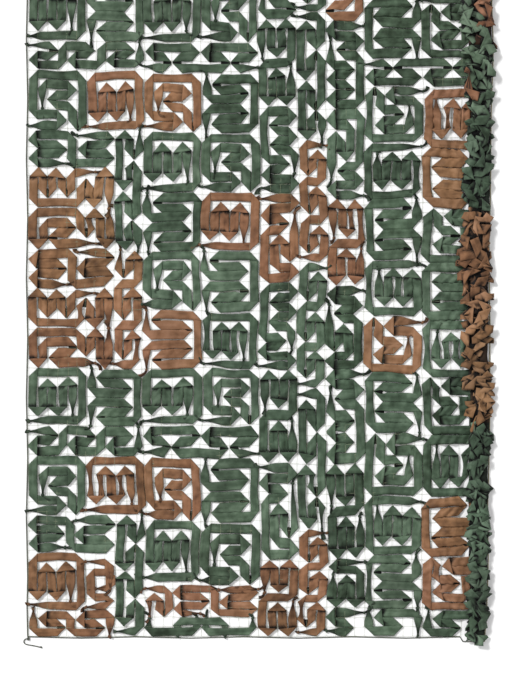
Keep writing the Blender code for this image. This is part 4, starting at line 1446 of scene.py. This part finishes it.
FOLDS_REACH = (
    Reach(-0.5, 45.5, 47.5),
    Reach(3.0, 45.6, 47.7),
    Reach(9.0, 45.7, 47.9),
    Reach(14.0, 45.6, 47.8),
    Reach(19.0, 45.7, 48.0),
    Reach(24.0, 45.6, 48.2),
    Reach(28.5, 45.1, 48.0),
    Reach(34.0, 45.2, 48.0),
    Reach(40.0, 44.7, 48.0),
    Reach(45.0, 45.2, 48.1),
    Reach(51.0, 45.5, 48.2),
    Reach(56.5, 45.6, 48.2),
    Reach(61.0, 45.3, 48.4),
    Reach(68.4, 45.5, 48.2),
)


def folds_reach(row):
    """Where the heap starts and ends at one row, in cells."""
    for before, after in zip(FOLDS_REACH, FOLDS_REACH[1:]):
        if row <= after.row:
            share = (row - before.row) / (after.row - before.row)
            left = before.left + share * (after.left - before.left)
            right = before.right + share * (after.right - before.right)
            return left, right
    return FOLDS_REACH[-1].left, FOLDS_REACH[-1].right


def reach_near(row):
    """The same at the nearest row that the heap has."""
    return folds_reach(min(max(row, 0.0), FAR_EDGE))


print("the heap is", round(folds_reach(0.0)[1] - folds_reach(0.0)[0], 2), "cells wide at its near end")

# %% The folded sheet's layers
Fold = namedtuple("Fold", "left right wander wave")

FOLDS = (
    Fold(0.04, 1.00, 0.00, 7.0),
    Fold(0.04, 0.88, 0.05, 5.2),
    Fold(0.20, 0.88, 0.07, 4.1),
    Fold(0.20, 0.97, 0.06, 6.3),
)
LOWEST_LAYER = 0.0015   # metres
LAYER_STEP = 0.0058
LAYER_BUMP = 0.0016
BUMP_WAVES = (2.3, 5.0, 1.7)    # along the heap, across it and from layer to layer
FOLD_NOSE = 0.15        # cells from a layer's last point to the tip of the fold
FOLD_SHARES = [index / 8 for index in range(9)]


def fold_ends(row):
    """The x of each layer's two ends at one row, in cells, from the bottom layer up."""
    left, right = folds_reach(row)
    width = right - left
    ends = [(FOLDS_START, right)]
    for fold in FOLDS:
        sway = fold.wander * math.sin(math.tau * row / fold.wave)
        ends.append((left + (fold.left + sway) * width, left + (fold.right + sway) * width))
    return ends


def fold_section(row):
    """Points and heights of the folded net across one row: back and forth, layer over layer."""
    ends = fold_ends(row)
    points = []
    heights = []
    nose = 0.0
    along, across, upwards = BUMP_WAVES
    for layer, (left, right) in enumerate(ends):
        base = LOWEST_LAYER + layer * LAYER_STEP
        rightwards = layer % 2 == 0
        past = FOLD_NOSE if rightwards else -FOLD_NOSE
        end = right - FOLD_NOSE if layer == 0 else (right if rightwards else left)
        start = left if layer == 0 else nose + past
        for share in FOLD_SHARES:
            x = start + share * (end - start)
            wave = math.sin(along * row + across * share + upwards * layer)
            bump = LAYER_BUMP * wave if layer else 0.0
            points.append(Vector((x, row)))
            heights.append(base + bump)
        nose = end + past
        if layer < len(ends) - 1:
            points.append(Vector((nose, row)))
            heights.append(base + LAYER_STEP / 2)
    return points, heights


print("layers:", len(FOLDS) + 1)

# %% A crumpled run
LEAN = 0.0105           # metres that one edge of a run stands over its middle
ROLL = 0.005            # metres that both edges stand over it, or under
ARCHES = (-0.001, 0.006)    # metres that the run rises between its folds
CRUMPLED_ROWS = 5       # in a cell
STEEP = 0.7             # the smaller, the sooner a run leans past its fold


def crumpled_run(start_row, finish_row, level, length, across, loose, chance):
    """Rows of a run that arches between the heights of its two folds and leans to one side. It is asked for
    them as run_rows is, though it needs less."""
    count = max(5, round(length * CRUMPLED_ROWS))
    start_height, finish_height = level
    arch = chance.uniform(*ARCHES) * min(1.0, length)
    lean = chance.uniform(-LEAN, LEAN)
    roll = chance.uniform(-ROLL, ROLL)
    rows = []
    for step in range(count):
        along = (step + 0.5) / count
        swell = math.sin(math.pi * along) ** STEEP
        middle = start_row[ACROSS // 2] * (1 - along) + finish_row[ACROSS // 2] * along
        centre = start_height * (1 - along) + finish_height * along + arch * swell
        width = math.sqrt(1.0 - (lean * swell / (RIBBON / 2)) ** 2)
        points = []
        heights = []
        for index, share in enumerate(SHARES):
            point = start_row[index] * (1 - along) + finish_row[index] * along
            q = 2 * share - 1
            points.append(middle + (point - middle) * width)
            heights.append(centre + swell * (lean * q + roll * q * q))
        rows.append((points, heights))
    return rows


print("a run leans up to", LEAN, "m")

# %% A crumpled ribbon's turns
TIP = 0.40              # cells that a folded corner reaches past its turn
TURNED_BY = 44.0        # degrees that a ribbon's runs are turned from straight across the heap
WIDE = 0.6              # a stretch wider than this share of the heap has several lanes
LANES = ((0.0, 0.5), (0.0, 0.5), (0.5, 1.0), (0.15, 0.85))  # shares of the stretch's width
ONE_LANE = ((0.0, 1.0),)
KEPT_IN = RIBBON / CELL * 0.42  # cells that a turn stays inside its lane
SHORTEST = 1.0          # cells of a ribbon's shortest run
OFF_ACROSS = 0.16       # cells that a turn may be off its place across the heap
OFF_ALONG = 0.1         # and along it
STEP_LENGTHS = (0.80, 1.25)     # cells from one run to the next
STEP_SLANT = 0.25       # cells that the step between them goes aside
RUN_SLANT = 0.45        # and that a run does
END_SPACE = 0.9         # cells that a ribbon's middle stays away from the stretch's ends


def crumpled_points(row, stretch, chance):
    """A crumpled ribbon's turns: across a part of the heap, a step along it, and back again."""
    wide = stretch.right - stretch.left
    lane = chance.choice(LANES if wide > WIDE else ONE_LANE)
    left, right = reach_near(row)
    first = left + (stretch.left + lane[0] * wide) * (right - left) + KEPT_IN
    second = left + (stretch.left + lane[1] * wide) * (right - left) - KEPT_IN
    if second - first < SHORTEST:
        middle = (first + second) / 2
        first, second = middle - SHORTEST / 2, middle + SHORTEST / 2
    turned = math.radians(chance.uniform(-TURNED_BY, TURNED_BY))
    onwards = chance.random() < 0.5
    points = []
    here = 0.0
    for _ in range(chance.randint(2, 3)):
        x = (second if onwards else first) + chance.uniform(-OFF_ACROSS, OFF_ACROSS)
        points.append(Vector((x, here + chance.uniform(-OFF_ALONG, OFF_ALONG))))
        here += chance.uniform(*STEP_LENGTHS)
        points.append(Vector((x + chance.uniform(-STEP_SLANT, STEP_SLANT), here)))
        here += chance.uniform(-RUN_SLANT, RUN_SLANT)
        onwards = not onwards
    middle = sum(points, Vector((0.0, 0.0))) / len(points)
    spin = Matrix.Rotation(turned, 2)
    along = min(max(row, stretch.start + END_SPACE), stretch.end - END_SPACE)
    points = [Vector((middle.x, along)) + spin @ (point - middle) for point in points]
    most_left = left + stretch.left * (right - left) + TIP - min(point.x for point in points)
    most_right = left + stretch.right * (right - left) - TIP - max(point.x for point in points)
    shift = max(0.0, most_left) if most_left > 0 else min(0.0, most_right)
    if most_left > most_right:
        shift = (most_left + most_right) / 2
    return [point + Vector((shift, 0.0)) for point in points]


print("a ribbon is turned by up to", TURNED_BY, "degrees")

# %% Where the crumpled ribbons lie
HEAP_LOW = 0.027        # lowest and highest level of a crumpled ribbon
HEAP_HIGH = 0.047
HEAP_TOP = 0.0550       # nothing stands higher, but for four ribbons that lie on top
ON_TOP = 0.0600
SPACING = 0.60          # cells along the heap from ribbon to ribbon
HEIGHT_STEP = 0.382     # neighbours in the heap lie this share of its height apart, wrapping round

# The stretches of the heap in cells along it, the share of its width that their ribbons keep to, and the
# solid whose cloth they are.
Stretch = namedtuple("Stretch", "start end left right node")

STRETCHES = (
    Stretch(-0.45, 22.2, -0.03, 1.14, "folds_green_near"),
    Stretch(22.2, 44.7, -0.06, 1.14, "folds_brown_middle"),
    Stretch(44.7, 61.8, -0.08, 1.14, "folds_green_far"),
    Stretch(61.8, 68.6, -0.10, 0.50, "folds_green_far"),
    Stretch(61.2, 68.6, 0.50, 0.99, "folds_brown_far"),
)

# Four ribbons leave the heap: a flat flap, a twisted end, and two that lean out over the rope.
ON_THEIR_OWN = (
    ("flap", ((44.75, 39.55), (46.9, 39.9), (46.3, 41.5)), "folds_brown_middle", (False, False)),
    ("twisted_end", ((46.9, 56.1), (45.7, 56.5), (45.85, 58.4)), "folds_brown_far", (False, True)),
    ("leaning_out", ((47.35, 60.9), (48.0, 62.5), (47.0, 63.1)), "folds_green_far", (False, False)),
    ("small_flap", ((47.1, 59.6), (48.2, 59.3), (48.15, 58.2)), "folds_green_far", (False, False)),
)
print("stretches:", len(STRETCHES), "ribbons on their own:", len(ON_THEIR_OWN))

# %% Crumpled ribbons
UPS_AND_DOWNS = 0.008   # how far a fold stands above or below its ribbon's level
HANG = 0.030            # metres that cloth at the sides of the heap hangs down
HANGS_FROM = 0.72       # share of the half width at which that starts
HANG_CURVE = 1.2        # the power by which it gets steeper
LOWEST_HANG = 0.010
ROUGH = 0.0020          # metres of unevenness
ROUGH_WAVES = 1.4       # how often in a cell


def heap_place(point, height):
    """Crumpled ribbons hang over the sides of the heap."""
    left, right = reach_near(point.y)
    middle = (left + right) / 2
    off = abs(point.x - middle) / (right - left) * 2
    drop = HANG * max(0.0, off - HANGS_FROM) ** HANG_CURVE
    rough = ROUGH * noise.noise(Vector((point.x * ROUGH_WAVES, point.y * ROUGH_WAVES, height * 60.0)))
    return at(point.x, point.y, max(LOWEST_HANG, min(height - drop + rough, ON_TOP)))


def crumpled_strip(points, chance, tails, base, top):
    """The rows of a crumpled ribbon, each fold at a height of its own."""
    heights = [base + chance.uniform(-UPS_AND_DOWNS, UPS_AND_DOWNS) for _ in points]
    levels = list(zip(heights, heights[1:]))
    rows = folded_strip(points, HALF, levels, heights[1:-1], chance, 1.0, tails, crumpled_run, base)
    return [(row, [min(height, top) for height in lifted]) for row, lifted in rows]


heap_chance = random.Random(23)
strips = []
for stretch_index, stretch in enumerate(STRETCHES, start=1):
    wide = stretch.right - stretch.left
    count = round((stretch.end - stretch.start) / SPACING * wide)
    for index in range(count):
        first = stretch.start + (stretch.end - stretch.start) * (index + 0.5) / count
        points = crumpled_points(first, stretch, heap_chance)
        base = HEAP_LOW + (HEAP_HIGH - HEAP_LOW) * (index * HEIGHT_STEP % 1.0)
        rows = crumpled_strip(points, heap_chance, (False, False), base, HEAP_TOP)
        strips.append((f"crumpled_{stretch_index}_{index + 1}", rows, stretch.node))

for name, spots, node, tails in ON_THEIR_OWN:
    rows = crumpled_strip([Vector(spot) for spot in spots], heap_chance, tails, HEAP_TOP, ON_TOP)
    strips.append((name, rows, node))
print("crumpled ribbons:", len(strips))

# %% [markdown]
# The cloth inside the heap gets little light, and that shade is painted into its colour. How little is found
# from the strips themselves: a coarse map keeps the highest cloth over each small square of ground, and a
# point that lies well below the cloth around it is dark.

# %% A map of the highest cloth
MAP_CELL = 0.0065       # metres

tops = {}


def map_square(place):
    """The square of the map that a place lies in."""
    return math.floor(place.x / MAP_CELL), math.floor(place.y / MAP_CELL)


for name, rows, node in strips:
    places = [[heap_place(point, height) for point, height in zip(*row)] for row in rows]
    for before, after in zip(places, places[1:]):
        for a, b, c, d in zip(before, before[1:], after, after[1:]):
            for spot in (a, d, (a + b) / 2, (a + c) / 2, (a + b + c + d) / 4, (b + d) / 2, (c + d) / 2):
                square = map_square(spot)
                tops[square] = max(tops.get(square, 0.0), spot.z)
print("squares of the map:", len(tops))

# %% Light in the heap
REACH_CELLS = 3         # squares to each side that shade a point
OPEN_STEP = 0.0003      # metres below its surroundings at which cloth starts to darken
DARK_STEP = 0.0030      # and how much deeper it is darkest
OPEN_GROUND = 0.010     # open ground counts as cloth this far below the point
HEAP_TONES = (-0.36, 0.56)


def heap_painted_shade(point, height, place):
    """How much shade is painted on cloth among the cloth around and over it. Only its place matters here."""
    column, row = map_square(place)
    total = 0.0
    weights = 0.0
    for across in range(-REACH_CELLS, REACH_CELLS + 1):
        for along in range(-REACH_CELLS, REACH_CELLS + 1):
            weight = 1.0 / (1.0 + across * across + along * along)
            total += weight * max(tops.get((column + across, row + along), 0.0), place.z - OPEN_GROUND)
            weights += weight
    below = total / weights - place.z
    return clamped((below - OPEN_STEP) / DARK_STEP)


for name, rows, node in strips:
    is_brown = "brown" in node
    cloth = BROWN if is_brown else GREEN
    strip, length = make_sheet(name, rows, heap_place, cloth, heap_chance.uniform(*HEAP_TONES), heap_painted_shade)
    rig.ride(strip, "root")
    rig.replaces(strip, node)
    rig.slot(strip, "brown_cloth" if is_brown else "green_cloth")
    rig.sheet(strip, flat=(RIBBON, length), held="laid", rests_on=[f"sheet_{node}"])
print("the last one is", round(length, 3), "m long")

# %% The folded sheet
FOLDED_LENGTHS = {
    "folds_green_near": (-0.15, 22.3),
    "folds_brown_middle": (22.3, 44.7),
    "folds_green_far": (44.7, 61.6),
    "folds_brown_far": (61.6, FAR_EDGE),
}
SECTION_STEP = 0.3      # cells between two sections
DRAWN_IN = 0.74         # the sheet is this much narrower than the heap, whose edge the ribbons make
STEADY = 0.8            # share of the heap's width at which it stays in place
UNDER_RIBBONS = 0.85    # painted shade: the sheet is at least this dark
RUFFLE = 0.0030         # metres that the layers ripple up and down
SWAY = 0.22             # cells that they sway to the sides
# a darker tone for the folded sheet: painted shade, as it lies under the ribbons
SHADED_SHEET_TONE = -0.25


def folded_sheet_painted_shade(point, height, place):
    """The same painted shade for the folded sheet, which is never in the open."""
    return max(UNDER_RIBBONS, heap_painted_shade(point, height, place))


def ruffled(point, height):
    """A point of the folded sheet, drawn in and rippled, but not on the ground."""
    left, right = folds_reach(point.y)
    middle = left + STEADY * (right - left)
    ripple = RUFFLE * math.sin(4.1 * point.y + 1.3 * math.sin(1.7 * point.y) + 160.0 * height)
    ripple += RUFFLE * noise.noise(Vector((point.x * 1.3, point.y * 1.1, height * 90.0)))
    share = min(1.0, height / LAYER_STEP)
    sway = SWAY * noise.noise(Vector((point.x * 0.5, point.y * 0.9, 30.0 + height * 60.0))) * share
    return at(middle + (point.x - middle) * DRAWN_IN + sway, point.y, max(LOWEST, height + ripple * share))


def width_along(points, heights):
    """The length of a line through points in cells at heights in metres."""
    steps = zip(points, points[1:], heights, heights[1:])
    return sum(math.hypot((after - before).length * CELL, high - low) for before, after, low, high in steps)


for node, (start, end) in FOLDED_LENGTHS.items():
    count = round((end - start) / SECTION_STEP)
    rows = [fold_section(start + (end - start) * index / count) for index in range(count + 1)]
    is_brown = "brown" in node
    cloth = BROWN if is_brown else GREEN
    sheet, length = make_sheet(f"sheet_{node}", rows, ruffled, cloth, SHADED_SHEET_TONE, folded_sheet_painted_shade)
    across = width_along(*rows[len(rows) // 2])
    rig.ride(sheet, "root")
    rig.replaces(sheet, node)
    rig.slot(sheet, "brown_cloth" if is_brown else "green_cloth")
    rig.sheet(sheet, flat=(across * DRAWN_IN, length), held="folded", rests_on=["floor"])
    print(node, "sheet:", round(across, 3), "x", round(length, 3), "m")

# %% [markdown]
# ## The edge rope
#
# The rope is twisted from three strands. A curve can show that: its outline is a small three-lobed curve,
# and each point's tilt turns the outline a little further, so the lobes wind round as strands do.

# %% The rope's route
ROPE_RADIUS = 0.0030
ROPE_OFF = ROPE_RADIUS + 0.0003     # metres from the net's edge to the rope's middle
ROPE_WAVE = 0.007       # metres that the rope swings out
WAVE_POINTS = 4         # points of the route in one swing
HEAP_START = -0.45      # cells, where the heap's near end is
STEP_OUT = 0.35         # cells before the heap where the rope turns towards its near end
STEP_ACROSS = 0.3       # and cells that it takes for this
ROUND_HEAP = 30         # pieces of the rope beside the heap


def wandering(count, start, end, outwards):
    """So many points from start to end in metres on the net, a little outside the straight line."""
    points = []
    for index in range(count):
        share = index / count
        wave = ROPE_WAVE * (0.5 - 0.5 * math.cos(math.tau * index / WAVE_POINTS))
        x = start[0] + share * (end[0] - start[0]) + outwards[0] * wave
        y = start[1] + share * (end[1] - start[1]) + outwards[1] * wave
        points.append(Vector((x, y)))
    return points


def edge_rope_route():
    """The rope's route round the net, counter-clockwise from the near left corner."""
    near = NEAR_EDGE * CELL - ROPE_OFF
    far = FAR_EDGE * CELL + ROPE_OFF
    round_folds = HEAP_START * CELL - ROPE_OFF
    folds_left = (FOLDS_START - STEP_OUT) * CELL
    points = wandering(16, (-ROPE_OFF, near), (folds_left, near), (0, -1))
    points += [Vector((folds_left, near)), Vector((folds_left + STEP_ACROSS * CELL, round_folds))]
    for index in range(ROUND_HEAP + 1):
        row = HEAP_START + index / ROUND_HEAP * (FAR_EDGE - HEAP_START)
        sway = ROPE_WAVE * noise.noise(Vector((row * 0.11, 4.0, 7.0)))
        x = folds_reach(row)[1] * CELL + ROPE_OFF - ROPE_RADIUS + sway
        y = round_folds if index == 0 else row * CELL
        points.append(Vector((x, far if index == ROUND_HEAP else y)))
    points += wandering(10, (FOLDS_START * CELL, far), (-ROPE_OFF, far), (0, 1))
    points += wandering(22, (-ROPE_OFF, far), (-ROPE_OFF, near), (-1, 0))
    return points


def fill_in(points, step):
    """Points a step apart along the closed line through the given points."""
    filled = []
    for start, end in zip(points, points[1:] + points[:1]):
        count = max(1, round((end - start).length / step))
        filled += [start.lerp(end, index / count) for index in range(count)]
    return filled


print("the rope turns at", len(edge_rope_route()), "points")

# %% Rope along the edge
ROPE_STEP = 0.0068      # metres between the rope's points
LAY = 0.040             # metres in which a strand goes once round
LOBE = 0.16             # how far the strands stand out
OUTLINE_POINTS = 12
WELD = 0.00001          # metres between points that are one


def strand_outline():
    """A closed three-lobed outline, as a curve object."""
    outline = bpy.data.curves.new("strands", "CURVE")
    outline.dimensions = "2D"
    spline = outline.splines.new("POLY")
    spline.points.add(OUTLINE_POINTS - 1)
    for index, point in enumerate(spline.points):
        angle = math.tau * index / OUTLINE_POINTS
        radius = ROPE_RADIUS * (1.0 - LOBE / 2 + LOBE / 2 * math.cos(3 * angle))
        point.co = (radius * math.cos(angle), radius * math.sin(angle), 0.0, 1.0)
    spline.use_cyclic_u = True
    return add_object("strands", outline)


def make_rope(name, places, closed):
    """A twisted rope through places in the frame, as a mesh."""
    outline = strand_outline()
    curve = bpy.data.curves.new(name, "CURVE")
    curve.dimensions = "3D"
    curve.bevel_mode = "OBJECT"
    curve.bevel_object = outline
    curve.use_fill_caps = not closed
    spline = curve.splines.new("POLY")
    spline.points.add(len(places) - 1)
    travelled = 0.0
    for index, (point, co) in enumerate(zip(spline.points, places)):
        if index:
            travelled += (co - places[index - 1]).length
        point.co = (*co, 1.0)
        point.tilt = math.tau * travelled / LAY
    spline.use_cyclic_u = closed
    rough = mesh_of_curve(name, curve)
    bpy.data.objects.remove(outline)
    welded = bmesh.new()
    welded.from_mesh(rough)
    bpy.data.meshes.remove(rough)
    bmesh.ops.remove_doubles(welded, verts=welded.verts, dist=WELD)
    bmesh.ops.recalc_face_normals(welded, faces=welded.faces)
    rope = add_object(name, mesh_from(name, welded))
    rope.data.materials.append(ROPE)
    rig.ride(rope, "root")
    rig.slot(rope, "rope")
    return rope


route = [Vector((*(CORNER.xy + point), ROPE_RADIUS)) for point in edge_rope_route()]
rope = make_rope("twisted_edge_rope", fill_in(route, ROPE_STEP), True)
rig.replaces(rope, "edge_rope")
print("rope faces:", len(rope.data.polygons))

# %% [markdown]
# ## The corner knot and the loose end
#
# At the near left corner the rope's two ends are knotted together. One of them is left long: it lies on
# the ground in a bend and stops in a small knot that keeps it from coming undone. Each knot is a few turns
# of the same rope, pulled tight: a spiral path on a flattened ball.

# %% Loose end
LOOSE_END = ((-0.192, -0.233), (-0.32, -0.27), (-0.46, -0.46), (-0.39, -0.71), (-0.1, -0.84), (0.3, -0.91),
             (0.75, -0.99), (1.2, -1.1))
LOOSE_STEP = 0.004      # metres between its points


def smooth_route(corners, spacing):
    """Points along a smooth curve through the given ones, about one spacing apart."""
    ends = [corners[0]] + list(corners) + [corners[-1]]
    points = []
    for before, start, end, after in zip(ends, ends[1:], ends[2:], ends[3:]):
        steps = max(1, round((end - start).length / spacing))
        for index in range(steps):
            t = index / steps
            points.append(0.5 * (2 * start + (end - before) * t
                                 + (2 * before - 5 * start + 4 * end - after) * t ** 2
                                 + (3 * start - before - 3 * end + after) * t ** 3))
    points.append(corners[-1].copy())
    return points


loose_points = smooth_route([at(x, y, ROPE_RADIUS) for x, y in LOOSE_END], LOOSE_STEP)
loose_length = sum((b - a).length for a, b in zip(loose_points, loose_points[1:]))
loose_end = make_rope("loose_rope_end", loose_points, False)
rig.replaces(loose_end, "rope_end")
print("loose end:", round(loose_length, 3), "m")

# %% Knots of the rope
KNOT_STRAND = 0.0021    # radius of the pulled strand
TURN_POINTS = 14        # points in one turn of it
TURNS_FROM = 0.12       # the turns start this share of the way from tip to tip
TURNS_OVER = 0.76       # and go on for this share
CORE = 0.82             # size of the ball inside the turns, as a share of the knot's


def knot_path(low, high, turns, phase):
    """A path wound over a flattened ball that fits a knot's solid."""
    middle = (low + high) / 2
    reach = (high - low) / 2 - Vector((1.0, 1.0, 1.0)) * KNOT_STRAND
    count = TURN_POINTS * turns
    places = []
    for index in range(count + 1):
        share = index / count
        angle = math.tau * turns * share + phase
        tip = math.pi * (TURNS_FROM + TURNS_OVER * share)
        swing = Vector((math.sin(tip) * math.cos(angle), math.cos(tip), math.sin(tip) * math.sin(angle)))
        places.append(middle + swing * reach)
    return places


for node, turns, phase in (("corner_knot", 4, 0.4), ("end_knot", 3, 1.3)):
    low, high = (Vector(corner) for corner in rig.box(node))
    knot = curve_from(f"wound_{node}", [knot_path(low, high, turns, phase)], KNOT_STRAND, 2)
    core = bmesh.new()
    core.from_mesh(knot.data)
    size = Matrix.Diagonal((*(half * CORE for half in (high - low) / 2), 1.0))
    spot = Matrix.Translation((low + high) / 2) @ size
    bmesh.ops.create_icosphere(core, subdivisions=2, radius=1.0, matrix=spot)
    for face in core.faces:
        face.smooth = True
    core.to_mesh(knot.data)
    core.free()
    knot.data.materials.append(ROPE)
    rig.ride(knot, "root")
    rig.replaces(knot, node)
    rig.slot(knot, "rope")
    print(node, "faces:", len(knot.data.polygons))

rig.cord(loose_end, exit=loose_points[0], length=loose_length, diameter=2 * ROPE_RADIUS, far_end="knot",
        stiffness="limp", lay="loose", path=[tuple(point) for point in loose_points],
        with_pieces=["wound_end_knot"])

# %% [markdown]
# ## Sizes, and the end
#
# The box of the solids and the box of everything that shows are written down side by side, because the
# cloth may stand only a little proud of the solids.

# %% Write the sizes
with open("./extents.json", "w") as out:
    json.dump({"cad": [list(map(float, corner)) for corner in CAD_BOX],
               "visual": [list(map(float, corner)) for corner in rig.bounds()]}, out, indent=1)
print("sizes written to", out.name)
